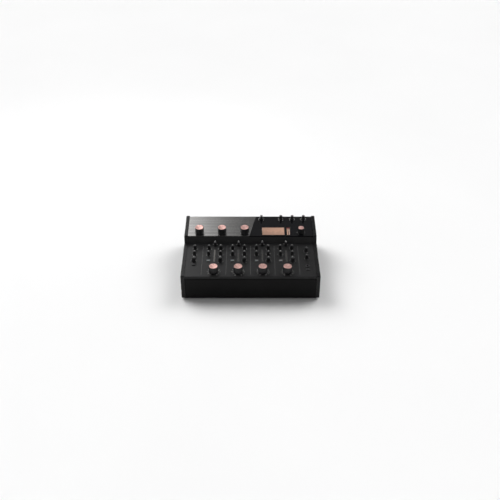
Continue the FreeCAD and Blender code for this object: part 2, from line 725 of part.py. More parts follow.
def deck_jacks():
    """Bore radius and row of the two headphone jacks on the deck."""
    return [(JACK_BORE, JACK_ROW), (MINI_JACK_BORE, JACK_ROW - JACK_PITCH)]


def phono_socket(sheet):
    """A pin socket: flange and hollow barrel outside the panel, a round body behind it."""
    neck = PHONO_RADIUS + 0.5
    flange = PHONO_RADIUS + PHONO_FLANGE
    return turned([
        (0, -sheet - 12), (flange, -sheet - 12), (flange, -sheet), (neck, -sheet), (neck, 0), (flange, 0),
        (flange, 1.2), (PHONO_RADIUS, 1.2), (PHONO_RADIUS, PHONO_REACH), (1.7, PHONO_REACH), (1.7, 1), (0, 1),
    ])


def ground_post(sheet):
    """A ground terminal: threaded post through the panel with a knurled thumb nut."""
    nut = turned(
        [
            (0, -sheet - 6), (3.5, -sheet - 6), (3.5, -sheet), (POST_NECK, -sheet), (POST_NECK, 0), (4.5, 0),
            (4.5, 1.5), (POST_NECK, 1.5), (POST_NECK, 2.5), (4.2, 2.5), (4.2, 8), (0, 8),
        ],
        [0] * 9 + [0.4, 0.4, 0],
    )
    return nut.cut(flutes(16, 4.2, 0.3, 0.5, 2, 9))


def data_socket():
    """A small flat socket in a rounded frame."""
    body = block(DATA_WIDTH, DATA_HEIGHT, -10, 0.5, 0.8)
    frame = block(DATA_WIDTH + 2 * DATA_RIM, DATA_HEIGHT + 2 * DATA_RIM, 0, 1, 1.0)
    body = body.fuse(frame).removeSplitter()
    return body.cut(block(DATA_WIDTH - 1.4, DATA_HEIGHT - 2, -7, 2, 1.2))


def jack(bore, depth, sheet):
    """A jack socket: ring outside the panel, bored body behind it."""
    neck = bore + JACK_WALL / 2
    ring = bore + JACK_WALL
    body = ring + 1.2
    return turned(
        [
            (0, -depth - 3), (body, -depth - 3), (body, -sheet), (neck, -sheet), (neck, 0),
            (ring, 0), (ring, 1.6), (bore, 1.6), (bore, -depth), (0, -depth),
        ],
        [0, 0, 0, 0, 0, 0, 0.5, 0.4, 0, 0],
    )


def pin_flange():
    return block(2 * (PIN_SOCKET + PIN_SIDE), 2 * (PIN_SOCKET + PIN_EAR), 0, SOCKET_FLANGE, 3.0)


def pin_outlet():
    """A three-pin outlet: square flange, deep round recess and its pins."""
    floor = -PIN_SOCKET_DEPTH
    shell = pin_flange().fuse(rod(PIN_SOCKET + PIN_WALL, floor - 2, 1))
    shell = shell.cut(rod(PIN_SOCKET, floor, SOCKET_FLANGE + 1))
    places = ((-PIN_CIRCLE, 0), (PIN_CIRCLE, 0), (0, PIN_CIRCLE))
    pins = [rod(PIN_RADIUS, floor - 1, -PIN_TIP, x, y) for x, y in places]
    return shell.fuse(pins).removeSplitter()


def mic_socket():
    """A microphone socket: a jack's bore in the middle and three pin holes around it."""
    body = pin_flange().fuse(rod(PIN_SOCKET + PIN_WALL, -JACK_DEPTH, 1)).removeSplitter()
    ring = (JACK_BORE + PIN_SOCKET) / 2
    places = ((-ring, 0), (ring, 0), (0, ring))
    holes = [rod(PIN_RADIUS + SHAFT_PLAY, 3 - JACK_DEPTH, SOCKET_FLANGE + 1, x, y) for x, y in places]
    return body.cut([rod(JACK_BORE, 3 - JACK_DEPTH, SOCKET_FLANGE + 1), *holes])


def power_inlet():
    """The mains inlet: flange with ears, recess with two cut corners and three blades."""
    x = INLET_WIDTH / 2
    y = INLET_HEIGHT / 2
    flange = block(INLET_WIDTH + 2 * INLET_EAR, INLET_HEIGHT + 2 * INLET_RIM, 0, SOCKET_FLANGE, 4.0)
    walls = 2 * INLET_WALL
    shell = flange.fuse(block(INLET_WIDTH + walls, INLET_HEIGHT + walls, -INLET_DEPTH - 3, 1, 2.0))
    side = x - INLET_CORNER
    top = INLET_CORNER - y
    corners = [(-x, y), (-x, top), (-side, -y), (side, -y), (x, top), (x, y)]
    recess = outline([Vector(a, b, -INLET_DEPTH) for a, b in corners], [1.0] * 6)
    shell = shell.cut(recess.extrude(Vector(0, 0, INLET_DEPTH + SOCKET_FLANGE + 1)))
    blade = block(2.0, 4.0, -INLET_DEPTH - 1, -BLADE_TIP, 0.5)
    blades = [blade.translated(Vector(a, b, 0)) for a, b in ((-BLADE_SPREAD, 2), (BLADE_SPREAD, 2), (0, -3))]
    return shell.fuse(blades).removeSplitter()


def switch_frame():
    """Bezel of the power switch, with the well and the pivot holes that the rocker turns in."""
    width = ROCKER_WIDTH + 2 * ROCKER_GAP
    height = ROCKER_HEIGHT + 2 * ROCKER_GAP
    frame = block(width + 2 * ROCKER_RIM, height + 2 * ROCKER_RIM, 0, SOCKET_FLANGE, 1.5)
    frame = frame.fuse(block(width + 2 * INLET_WALL, height + 2 * INLET_WALL, -14, 1, 1.0)).removeSplitter()
    well = block(width, height, -12, SOCKET_FLANGE + 1, 0.5)
    return frame.cut([well, pivot(width / 2 + 1.2, PIVOT_RADIUS + SHAFT_PLAY)])


def pivot(half_length, radius):
    """A rod along the rocker's axis."""
    start = Vector(-half_length, 0, -ROCKER_PIVOT)
    return Part.makeCylinder(radius, 2 * half_length, start, Vector(1, 0, 0))


def rocker():
    """The power switch's rocker, tipped to its off side; two flat faces meet over the pivot."""
    y = ROCKER_HEIGHT / 2
    tip = SOCKET_FLANGE + y * math.tan(math.radians(ROCKER_ANGLE)) + 0.6
    points = [(-y, -4), (-y, tip), (0, SOCKET_FLANGE - 0.4), (y, tip), (y, -4), (3, -7), (-3, -7)]
    x = ROCKER_WIDTH / 2
    face = outline([Vector(-x, a, b) for a, b in points], [0.6, 0.8, 6, 0.8, 0.6, 1, 1])
    body = face.extrude(Vector(ROCKER_WIDTH, 0, 0))
    body = body.fuse(pivot(ROCKER_WIDTH / 2 + ROCKER_GAP + 1, PIVOT_RADIUS)).removeSplitter()
    body.rotate(Vector(0, 0, -ROCKER_PIVOT), Vector(1, 0, 0), -ROCKER_ANGLE)
    return body


def socket_hole(kind):
    """What a rear socket cuts out of the rear panel."""
    low = -REAR_SHEET - 1
    if kind == "inlet":
        extra = 2 * INLET_WALL + 2 * SOCKET_GAP
        return block(INLET_WIDTH + extra, INLET_HEIGHT + extra, low, 1, 2.0)
    if kind == "switch":
        extra = 2 * (ROCKER_GAP + INLET_WALL + SOCKET_GAP)
        return block(ROCKER_WIDTH + extra, ROCKER_HEIGHT + extra, low, 1, 1.0)
    if kind == "data":
        return block(DATA_WIDTH + 2 * SOCKET_GAP, DATA_HEIGHT + 2 * SOCKET_GAP, low, 1, 0.8)
    if kind in ("mic", "outlet"):
        side = 2 * (PIN_SOCKET + PIN_WALL + SOCKET_GAP)
        return block(side, side, low, 1, 1.0)
    necks = {"phono": PHONO_RADIUS + 0.5, "ground": POST_NECK, "jack": JACK_BORE + JACK_WALL / 2}
    return rod(necks[kind] + SOCKET_GAP, low, 1)


def sockets():
    """All rear sockets and the two headphone jacks on the deck."""
    makers = {
        "phono": phono_socket(REAR_SHEET),
        "ground": ground_post(REAR_SHEET),
        "data": data_socket(),
        "jack": jack(JACK_BORE, JACK_DEPTH, REAR_SHEET),
        "outlet": pin_outlet(),
        "mic": mic_socket(),
        "inlet": power_inlet(),
        "switch": switch_frame(),
    }
    solids = [moved(makers[kind], on(REAR, x, -z)) for kind, x, z in rear_sockets()]
    depths = (JACK_DEPTH, MINI_JACK_DEPTH)
    for (bore, y), depth in zip(deck_jacks(), depths):
        solids.append(moved(jack(bore, depth, COVER_SHEET), on(DECK, SIDE, y)))
    return solids


def rear_panel():
    """Sheet with the socket holes and a flange on the tray."""
    height = bridge_underside(REAR_INSIDE) - GROUND_GAP
    corner = Vector(-PANEL_HALF, FRONT + REAR_INSIDE, GROUND_GAP)
    sheet = Part.makeBox(2 * PANEL_HALF, REAR_SHEET, height, corner)
    reach = HALF - TRAY_SHEET - SEAM
    corner = Vector(-reach, FRONT + REAR_INSIDE - FLANGE, TRAY_TOP)
    flange = Part.makeBox(2 * reach, FLANGE + 1, TRAY_SHEET, corner)
    sheet = sheet.fuse(flange).removeSplitter()
    return sheet.cut([moved(socket_hole(kind), on(REAR, x, -z)) for kind, x, z in rear_sockets()])


def control_boards(deck, bridge):
    """Deck board, bridge board and main board with what is soldered to them."""
    solids = [potentiometer(c) for c in deck + bridge]
    half = HALF - TRAY_SHEET - BOARD_MARGIN
    top = -COVER_SHEET - STACK
    back = DECK_LENGTH - 4
    board = block(2 * half, back - FLANGE - SEAM, top - BOARD, top, 2.0)
    board = board.translated(Vector(0, (back + FLANGE + SEAM) / 2, 0))
    gaps = [rod(bore + JACK_WALL + 2.2, top - BOARD - 1, top + 1, SIDE, y) for bore, y in deck_jacks()]
    solids.append(moved(board.cut(gaps), DECK))
    for x in (-CHANNELS * CHANNEL_PITCH / 2, 0, CHANNELS * CHANNEL_PITCH / 2):
        for y in (LEVEL_ROW, SELECTOR_ROW):
            solids.append(moved(rod(POST, top, -COVER_SHEET), on(DECK, x, y)))
    bar = block(METER_WIDTH - 1, METER_LENGTH, top, -COVER_SHEET - RIM - SHAFT_PLAY)
    solids += [moved(bar, on(DECK, channel_x(i), METER_ROW)) for i in range(CHANNELS)]

    top = -BRIDGE_PLATE - STACK
    first = FLANGE - 2
    last = BRIDGE_LENGTH - REAR_RECESS + BRIDGE_SETBACK - REAR_SHEET - 2
    board = block(2 * half, last - first, top - BOARD, top, 2.0)
    solids.append(moved(board, on(BRIDGE, 0, (first + last) / 2)))
    for x, width in [(DISPLAY_X, DISPLAY_WIDTH), (BAR_X, BAR_WIDTH)]:
        module = block(width - 2, DISPLAY_LENGTH - 2, top, -BRIDGE_PLATE, 0.5)
        solids.append(moved(module, on(BRIDGE, x, DISPLAY_ROW)))

    y = FRONT + REAR_INSIDE - MAIN_GAP - MAIN_LENGTH / 2
    solids += raised_board(0, y, MAIN_WIDTH, MAIN_LENGTH)
    floor = TRAY_TOP + POST_HEIGHT + BOARD
    can = block(CAN, CAN, floor, floor + CAN_HEIGHT, 2.0)
    solids += [can.translated(Vector(x, y, 0)) for x in (CAN_PITCH, 2 * CAN_PITCH)]
    return solids


def raised_board(x, y, width, length):
    """A board on four posts that stand on the tray."""
    bottom = TRAY_TOP + POST_HEIGHT
    solids = [block(width, length, bottom, bottom + BOARD, 2.0).translated(Vector(x, y, 0))]
    for sx in (-1, 1):
        for sy in (-1, 1):
            solids.append(rod(POST, TRAY_TOP, bottom, x + sx * (width / 2 - 6), y + sy * (length / 2 - 6)))
    return solids


def power_supply():
    """Board with capacitors and a finned heat sink, and a ring transformer on the tray."""
    wall = HALF - TRAY_SHEET
    x = SUPPLY_MARGIN + SUPPLY_WIDTH / 2 - wall
    y = FRONT + SUPPLY_FRONT + SUPPLY_LENGTH / 2
    solids = raised_board(x, y, SUPPLY_WIDTH, SUPPLY_LENGTH)
    floor = TRAY_TOP + POST_HEIGHT + BOARD
    half = CAPACITOR_PITCH / 2
    for dx in (half, 3 * half):
        for dy in (-half, half):
            solids.append(rod(CAPACITOR, floor, floor + CAPACITOR_HEIGHT, x + dx, y + dy))
    left = x - SUPPLY_WIDTH / 2 + SINK_MARGIN
    front = y - SINK_LENGTH / 2
    base = Part.makeBox(SINK_BASE, SINK_LENGTH, SINK_HEIGHT, Vector(left, front, floor))
    step = (SINK_LENGTH - FIN) / (FINS - 1)
    corner = Vector(left + SINK_BASE - 1, front, floor)
    fin = Part.makeBox(FIN_REACH + 1, FIN, SINK_HEIGHT, corner)
    fins = [fin.translated(Vector(0, i * step, 0)) for i in range(FINS)]
    solids.append(base.fuse(fins).removeSplitter())
    top = TRAY_TOP + RING_HEIGHT
    ring = turned(
        [(RING_HOLE, TRAY_TOP), (RING_RADIUS, TRAY_TOP), (RING_RADIUS, top), (RING_HOLE, top)],
        [4, 8, 8, 4],
    )
    x = wall - RING_MARGIN - RING_RADIUS
    y = FRONT + RING_FRONT + RING_RADIUS
    solids.append(ring.translated(Vector(x, y, 0)))
    return solids


def save(name, solids):
    shape = solids[0] if len(solids) == 1 else Part.makeCompound(solids)
    shape.exportStep(os.path.join("parts", name + ".step"))


def main():
    os.makedirs("parts", exist_ok=True)
    deck = deck_controls()
    bridge = bridge_controls()
    foot = rubber_foot()
    save("base_tray", [base_tray()])
    save("front_panel", [front_panel()])
    save("rear_panel", [rear_panel()])
    save("left_cheek", [cheek(-1)])
    save("right_cheek", [cheek(1)])
    save("deck_panel", [deck_panel(deck)])
    save("isolator_panel", [isolator_panel(bridge)])
    save("effects_panel", [effects_panel(bridge)])
    save("windows", windows())
    save("control_boards", control_boards(deck, bridge))
    save("power_supply", power_supply())
    save("sockets", sockets())
    save("rubber_feet", [foot.translated(Vector(x, y, 0)) for x, y in foot_places()])
    for kind, x, z in rear_sockets():
        if kind == "switch":
            save("power_switch", [moved(rocker(), on(REAR, x, -z))])
    made = {}
    for control in deck + bridge:
        key = (control.kind, control.sheet)
        if key not in made:
            made[key] = make_control(*key)
        place = on(control.frame, control.x, control.y)
        save(control.name, [moved(solid, place) for solid in made[key]])


if __name__ == "__main__":
    main()
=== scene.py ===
import json
import math

import bpy
import numpy as np

from bpy.props import FloatProperty, FloatVectorProperty, IntProperty, PointerProperty
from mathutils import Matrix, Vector


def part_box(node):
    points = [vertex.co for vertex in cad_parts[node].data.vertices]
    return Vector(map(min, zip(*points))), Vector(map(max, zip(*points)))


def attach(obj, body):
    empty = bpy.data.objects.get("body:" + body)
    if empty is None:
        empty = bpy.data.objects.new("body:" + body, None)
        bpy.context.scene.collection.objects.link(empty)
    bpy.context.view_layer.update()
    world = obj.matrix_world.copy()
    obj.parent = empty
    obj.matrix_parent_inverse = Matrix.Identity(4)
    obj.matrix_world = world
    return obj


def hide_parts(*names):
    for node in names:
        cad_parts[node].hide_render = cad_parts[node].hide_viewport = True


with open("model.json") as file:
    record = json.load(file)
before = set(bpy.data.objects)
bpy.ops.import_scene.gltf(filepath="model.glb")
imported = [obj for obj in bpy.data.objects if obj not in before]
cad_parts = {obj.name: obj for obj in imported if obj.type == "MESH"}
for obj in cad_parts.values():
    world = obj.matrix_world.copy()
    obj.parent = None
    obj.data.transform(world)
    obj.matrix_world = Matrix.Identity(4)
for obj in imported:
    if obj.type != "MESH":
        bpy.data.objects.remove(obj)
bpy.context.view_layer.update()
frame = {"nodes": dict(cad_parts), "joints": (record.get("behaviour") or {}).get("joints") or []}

bl_info = {
    "name": "Rotary DJ mixer",
    "version": (1, 0, 0),
    "blender": (4, 5, 0),
    "location": "View3D > Sidebar > Mixer",
    "description": "Dresses the packed mixer: knob caps, print, display, meters, sockets, screws and stage",
    "category": "Object",
}

MM = 0.001
JOINTS = {joint["child"]: joint for joint in frame["joints"]}


def named(start, end=""):
    """Controls whose names begin and end so, in the record's order."""
    return [name for name in JOINTS if name.startswith(start) and name.endswith(end)]


LEVEL_KNOBS = named("channel", "level_knob")
INPUT_SELECTORS = named("channel", "input_selector")
ISOLATORS = named("isolator")
EFFECTS = named("effect")
LARGE_KNOBS = [*LEVEL_KNOBS, "master_level_knob", *ISOLATORS]
SMALL_KNOBS = [name for name in named("", "knob") if name not in LARGE_KNOBS]
SELECTORS = [*INPUT_SELECTORS, "effect_selector"]

# Sweeps of the scales to each side of the back
KNOB_SWEEP, INPUT_SWEEP, EFFECT_SWEEP = (math.radians(sweep) for sweep in (150, 60, 75))

# Marks of a small and a large scale; a large one's marks and numbers, as shares of the print's sizes
SMALL_SCALE, LARGE_SCALE = 11, 21
LONG_TICK, DIAL_FIGURE, CHANNEL_FIGURE = 1.2, 0.8, 1.3

# Angles, in degrees, over which the edges of small metal parts, grips and caps stay sharp
METAL_CREASE, GRIP_CREASE, CAP_CREASE = 35.0, 40.0, 50.0

# Axes, as rows, of what faces to the rear and of what faces the floor
TO_REAR = np.array([[-1, 0, 0], [0, 0, 1], [0, 1, 0]], float)
TO_FLOOR = np.array([[1, 0, 0], [0, -1, 0], [0, 0, -1]], float)


# Sizes and colours that a user would change

def length(name, description, millimetres):
    return FloatProperty(
        name=name, description=description, default=millimetres * MM, unit="LENGTH", precision=5
    )


def colour(name, description, value):
    return FloatVectorProperty(
        name=name, description=description, default=value, subtype="COLOR", min=0.0, max=1.0
    )


class MixerKnobs(bpy.types.PropertyGroup):
    """Sizes of the knobs' own detail."""
    lift: length("Lift", "Panel to the foot of a knob", 0.7)
    skirt: length("Skirt", "Plain band at the foot of a large knob", 2.0)
    flutes: IntProperty(name="Flutes", description="Grooves around a large knob", default=36, min=8)
    flute_depth: length("Flute depth", "Depth of a groove", 0.5)
    flute_round: length("Flute round", "Radius of a groove", 1.0)
    rim: length("Rim", "Plastic rim around the metal cap", 1.7)
    cap_proud: length("Cap height", "Metal cap above the rim", 0.3)
    cap_dish: length("Cap dish", "Hollow of the cap's face", 0.5)
    cap_depth: length("Cap depth", "Side of the cap that sits in the knob", 1.4)
    pointer: length("Pointer", "Width of the pointer line in a cap", 1.0)
    inlay: length("Inlay", "Width of the white inlay in a small knob", 1.15)
    inlay_depth: length("Inlay depth", "Depth of that inlay", 0.25)
    inlay_sunk: length("Inlay sunk", "Face of the inlay under the knob's surface", 0.1)
    foot_flare: length("Foot flare", "Foot of a small knob beyond its barrel", 0.5)
    taper: length("Taper", "Barrel of a small knob beyond its crown", 0.5)
    crown: length("Crown", "Round of a small knob's top edge", 0.9)


class MixerPrint(bpy.types.PropertyGroup):
    """Sizes of the printed scales and of the lit segments."""
    ink: length("Ink", "Height of the ink on a panel", 0.05)
    tick: length("Tick", "Length of a scale mark", 1.5)
    stroke: length("Stroke", "Width of a scale mark", 0.38)
    ring_gap: length("Ring gap", "Knob to its scale", 1.5)
    figure: length("Figure", "Height of a printed number", 2.9)
    divider: length("Divider", "Width of the lines between the channels", 0.34)
    dot: length("Dot", "Radius of a selector's position dot", 0.62)
    segment_gap: length("Segment gap", "Between lit segments", 0.7)
    segments: IntProperty(name="Segments", description="Segments of the master meter", default=12, min=4)
    steps: IntProperty(name="Steps", description="Segments of a channel's meter", default=15, min=4)


class MixerColours(bpy.types.PropertyGroup):
    """Colours of the finishes, as linear values."""
    deck: colour("Deck", "Charcoal paint of the deck", (0.008, 0.008, 0.0084))
    cheek: colour("Cheek", "Satin finish of the side plates", (0.006, 0.006, 0.0063))
    front: colour("Front", "Satin finish of the front panel", (0.004, 0.004, 0.0042))
    tray: colour("Tray", "Textured paint of the tray and the rear panel", (0.014, 0.014, 0.015))
    brushed: colour("Brushed", "Brushed metal of the isolator panel", (0.36, 0.355, 0.35))
    gloss: colour("Gloss", "Polished black of the effects panel", (0.004, 0.004, 0.005))
    grip: colour("Grip", "Soft black of the knobs", (0.010, 0.010, 0.011))
    cap: colour("Cap", "Rose-coloured metal of the caps", (0.86, 0.52, 0.47))
    ink: colour("Ink", "Light ink of the scales", (0.62, 0.62, 0.60))
    pointer: colour("Pointer", "White inlays of the small knobs", (0.837, 0.837, 0.81))
    lens: colour("Lens", "Grey of the cue buttons", (0.105, 0.110, 0.112))
    screen: colour("Screen", "Light of the display", (0.50, 0.285, 0.20))
    rose: colour("Rose", "Light of the master meter's left column", (0.86, 0.56, 0.39))
    cream: colour("Cream", "Light of the master meter's right column", (0.98, 0.77, 0.60))


# Places

def axes_of(out):
    """Unit vectors to the right, to the back and out of a face, as rows."""
    out = np.array(out, float)
    back = np.cross(out, (1.0, 0.0, 0.0))
    back /= np.linalg.norm(back)
    return np.array([np.cross(back, out), back, out])


def place_of(control):
    """Axes and origin of a control, where its axis meets the face of its panel."""
    joint = JOINTS[control]
    if "pos_m" in joint:
        return axes_of(joint["axis"]), np.array(joint["pos_m"], float)
    low, high = (np.array(corner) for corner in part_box(control))
    middle = (low + high) / 2
    return axes_of(-np.array(joint["axis"])), np.array([middle[0], middle[1], DECK_HEIGHT])


def points_of(mesh):
    """A mesh's vertices as one array."""
    points = np.empty(len(mesh.vertices) * 3, np.float32)
    mesh.vertices.foreach_get("co", points)
    return points.reshape(-1, 3).astype(float)


def vertices_of(node):
    """A CAD node's vertices as one array."""
    return points_of(frame["nodes"][node].data)


def reach_of(control):
    """Radius and height of a knob over the face of its panel."""
    axes, origin = place_of(control)
    local = (vertices_of(control) - origin) @ axes.T
    return abs(local[:, 0]).max(), local[:, 2].max()


def runs(values, gap):
    """Indices of the values in groups that lie more than a gap apart."""
    order = np.argsort(values)
    return np.split(order, np.flatnonzero(np.diff(values[order]) > gap) + 1)


def middles(points, gap):
    """Middles of the groups of flat points, split by gaps along the first axis and then the second."""
    found = []
    for column in runs(points[:, 0], gap):
        for part in runs(points[column, 1], gap):
            members = points[column[part]]
            found.append((members.min(0) + members.max(0)) / 2)
    return found


DECK_HEIGHT = JOINTS["channel_1_level_knob"]["pos_m"][2]
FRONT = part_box("left_cheek")[0].y
DECK = (axes_of((0, 0, 1)), np.array([0.0, FRONT, DECK_HEIGHT]))
BRIDGE = (axes_of(JOINTS["isolator_low_knob"]["axis"]), np.array(JOINTS["isolator_low_knob"]["pos_m"]))


# Shapes: (points, faces), closed and facing outwards

def moved(shape, offset):
    return shape[0] + np.array(offset, float), shape[1]


def placed(shape, place):
    """The shape carried from a face's own axes into the frame."""
    axes, origin = place
    return shape[0] @ axes + origin, shape[1]


def joined(shapes):
    """One shape from many."""
    points, faces, count = [], [], 0
    for some, rows in shapes:
        points.append(some)
        faces += [[i + count for i in row] for row in rows]
        count += len(some)
    return np.concatenate(points), faces


def ring_faces(rows, columns):
    """Quads between the rings of a grid whose columns close on themselves."""
    i, j = np.meshgrid(np.arange(rows - 1), np.arange(columns), indexing="ij")
    k = (j + 1) % columns
    quads = np.stack([i * columns + j, i * columns + k, (i + 1) * columns + k, (i + 1) * columns + j], -1)
    return quads.reshape(-1, 4).tolist()


def capped(points):
    """A grid of rings made a closed shape: quads between the rings and one face over each end."""
    rows, columns = points.shape[:2]
    faces = ring_faces(rows, columns)
    faces.append(list(range(columns))[::-1])
    faces.append(list(range((rows - 1) * columns, rows * columns)))
    return points.reshape(-1, 3), faces


def around(columns):
    """Equal angles around an axis."""
    return np.arange(columns) * 2 * math.pi / columns


def rings(radius, height, angle):
    """A grid of points: each row's radius carried round the axis at its height."""
    return np.stack(np.broadcast_arrays(radius * np.cos(angle), radius * np.sin(angle), height), -1)


def bearing(angles):
    """Flat unit vectors at angles from the back, clockwise as a dial turns."""
    return np.stack([np.sin(angles), np.cos(angles)], -1)


def spun(profile, columns, wave=None):
    """A row of (radius, height) points carried round the axis; wave changes the radius with the angle."""
    profile = np.array(profile, float)
    angle = around(columns)
    radius, height = np.repeat(profile[:, :1], columns, 1), profile[:, 1:]
    if wave is not None:
        radius = wave(radius, height, angle)
    return capped(rings(radius, height, angle))


def rounded(start, corner, end, radius, steps=5):
    """Points of a corner of a profile, rounded along a quadratic curve between its two sides."""
    start, corner, end = (np.array(p, float) for p in (start, corner, end))
    a = corner + (start - corner) * min(1.0, radius / np.linalg.norm(start - corner))
    b = corner + (end - corner) * min(1.0, radius / np.linalg.norm(end - corner))
    t = np.linspace(0, 1, steps)[:, None]
    return ((1 - t) ** 2 * a + 2 * t * (1 - t) * corner + t ** 2 * b).tolist()


def slab(width, depth, bottom, top, corner, bevel, arc=4):
    """A block with rounded corners: its outline carried up the side and in over a bevelled top edge."""
    turn = np.linspace(0, math.pi / 2, arc)
    quarter = np.arange(4)[:, None] * math.pi / 2
    angle = (quarter + turn).ravel()
    sign = np.repeat(np.array([[1, 1], [-1, 1], [-1, -1], [1, -1]]), arc, 0)
    middle = sign * (np.array([width, depth]) / 2 - corner)
    across = np.stack([np.cos(angle), np.sin(angle)], -1)
    lean = np.linspace(0, math.pi / 2, 4)
    insets = np.concatenate([[0], bevel * (1 - np.cos(lean))])
    heights = np.concatenate([[bottom], top - bevel + bevel * np.sin(lean)])
    flat = middle + across * (corner - insets[:, None, None])
    return capped(np.concatenate([flat, np.broadcast_to(heights[:, None, None], flat.shape[:2] + (1,))], -1))


def strip(path, width, depth):
    """A flat bar carried along a path of (back, out) points: its face lies on the path."""
    path = np.array(path, float)
    step = np.gradient(path, axis=0)
    step /= np.linalg.norm(step, axis=1)[:, None]
    under = path - np.stack([-step[:, 1], step[:, 0]], -1) * depth
    half = np.full(len(path), width / 2)
    corners = [(half, path), (half, under), (-half, under), (-half, path)]
    return capped(np.stack([np.column_stack([x, p]) for x, p in corners], 1))


def bar(centre, length, width, angle, height):
    """An upright block on a face, with its length along an angle and its middle at the centre."""
    along, across = bearing(angle) * length / 2, bearing(angle + math.pi / 2) * width / 2
    corners = centre + np.array([-across - along, across - along, across + along, along - across])
    return capped(np.stack([np.column_stack([corners, np.full(4, z)]) for z in (0, height)]))


def arc_line(radius, sweep, stroke, ink, steps=49):
    """A flat line along an arc, to both sides of the back."""
    way = bearing(np.linspace(-sweep, sweep, steps))
    outer, inner = radius + stroke / 2, radius - stroke / 2
    rows = [(outer, 0), (outer, ink), (inner, ink), (inner, 0)]
    return capped(np.stack([np.column_stack([way * r, np.full(steps, z)]) for r, z in rows], 1))


FIGURE_SHARE = 0.7  # height of a figure in the font, as a share of the font's size


def figure(text, size, ink):
    """A printed number: its outline filled and raised, with its middle over the origin."""
    curve = bpy.data.curves.new("figure", "FONT")
    curve.body = text
    curve.size = size / FIGURE_SHARE
    curve.align_x = "CENTER"
    curve.extrude = ink / 2
    curve.resolution_u = 3
    holder = bpy.data.objects.new("figure", curve)
    mesh = bpy.data.meshes.new_from_object(holder)
    points = points_of(mesh)
    faces = [list(polygon.vertices) for polygon in mesh.polygons]
    bpy.data.objects.remove(holder)
    bpy.data.curves.remove(curve)
    bpy.data.meshes.remove(mesh)
    return points + np.array([0, -size / 2, ink / 2]), faces


# Nodes

def node(tree, kind, values=(), **settings):
    """A new node with its own settings, and constants or links for its inputs."""
    made = tree.nodes.new(kind if kind.startswith("NodeGroup") else "ShaderNode" + kind)
    for key, value in settings.items():
        setattr(made, key, value)
    for socket, value in dict(values).items():
        if isinstance(value, bpy.types.NodeSocket):
            tree.links.new(value, made.inputs[socket])
        else:
            made.inputs[socket].default_value = value
    return made


def math_node(tree, operation, *values):
    return node(tree, "Math", dict(enumerate(values)), operation=operation).outputs[0]


def spread(tree, value, low, high, to_low=0.0, to_high=1.0):
    """A value's range stretched over another range and held there."""
    inputs = dict(enumerate((value, low, high, to_low, to_high)))
    return node(tree, "MapRange", inputs).outputs[0]


def ramp(tree, value, *colours):
    """Colours spread evenly over a value from nought to one."""
    made = node(tree, "ValToRGB", {0: value})
    elements = made.color_ramp.elements
    while len(elements) < len(colours):
        elements.new(0.5)
    for i, value in enumerate(colours):
        elements[i].position = i / (len(colours) - 1)
        elements[i].color = (*value[:3], 1.0)
    return made.outputs[0]


def blend(tree, share, first, second):
    """One colour mixed into another by a share."""
    return node(tree, "Mix", {0: share, 6: first, 7: second}, data_type="RGBA").outputs[2]


def shade(value, factor):
    """A colour made lighter or darker."""
    return [min(1.0, part * factor) for part in value]


def new_group(name, outputs, **inputs):
    """A shared effect: its tree, with sockets for what goes out, and the values that come in."""
    tree = bpy.data.node_groups.new(name, "ShaderNodeTree")
    for label, default in inputs.items():
        socket = tree.interface.new_socket(name=label, in_out="INPUT", socket_type="NodeSocketFloat")
        socket.default_value = default
    for label in outputs:
        tree.interface.new_socket(name=label, in_out="OUTPUT", socket_type="NodeSocketFloat")
    return tree, node(tree, "NodeGroupInput").outputs


def noise(tree, vector, scale, detail=2.0, roughness=0.5, distortion=0.0):
    inputs = {"Vector": vector, "Scale": scale, "Detail": detail, "Roughness": roughness}
    return node(tree, "TexNoise", {**inputs, "Distortion": distortion}).outputs[0]


def noise_along(tree, value, scale, detail):
    """Noise along one value."""
    inputs = {"W": value, "Scale": scale, "Detail": detail}
    return node(tree, "TexNoise", inputs, noise_dimensions="1D").outputs[0]


def object_place(tree):
    return node(tree, "TexCoord").outputs["Object"]


def stretched(tree, vector, scale):
    return node(tree, "VectorMath", {0: vector, 1: scale}, operation="MULTIPLY").outputs[0]


def fine_grain_group():
    """Grain of paint or moulding, with broad clouds of lighter and darker shade."""
    tree, given = new_group("fine_grain", ("Height", "Shade"), Scale=900.0)
    place = object_place(tree)
    grain = noise(tree, place, given["Scale"], 3.0, 0.6)
    cloud = math_node(tree, "MULTIPLY", noise(tree, place, 16.0, 3.0), 0.55)
    mixed = math_node(tree, "MULTIPLY_ADD", grain, 0.45, cloud)
    node(tree, "NodeGroupOutput", {"Height": grain, "Shade": spread(tree, mixed, 0.3, 0.7)})
    return tree


def handling_group():
    """Marks of use: soft smears that change the gloss, and specks of dust."""
    tree, given = new_group("handling", ("Smear", "Dust"), Scale=34.0)
    place = object_place(tree)
    smear = spread(tree, noise(tree, place, given["Scale"], 4.0, 0.55, 1.4), 0.35, 0.72)
    specks = spread(tree, noise(tree, place, 2600.0, 1.0), 0.72, 0.8)
    patches = spread(tree, noise(tree, place, 60.0, 2.0), 0.45, 0.7)
    node(tree, "NodeGroupOutput", {"Smear": smear, "Dust": math_node(tree, "MULTIPLY", specks, patches)})
    return tree


def brushed_group():
    """Long lines from side to side: noise drawn out along the width at two finenesses."""
    tree, given = new_group("brushed_lines", ("Height", "Shade"), Length=5.0, Fineness=2200.0)
    place = object_place(tree)
    ways = node(tree, "CombineXYZ", {0: given["Length"], 1: given["Fineness"], 2: 1.0}).outputs[0]
    hair = noise(tree, stretched(tree, place, ways), 1.0, 2.0)
    streak = noise(tree, stretched(tree, place, (2.0, 330.0, 1.0)), 1.0, 3.0, 0.6)
    mixed = math_node(tree, "MULTIPLY_ADD", hair, 0.4, math_node(tree, "MULTIPLY", streak, 0.6))
    node(tree, "NodeGroupOutput", {"Height": hair, "Shade": spread(tree, mixed, 0.32, 0.68)})
    return tree


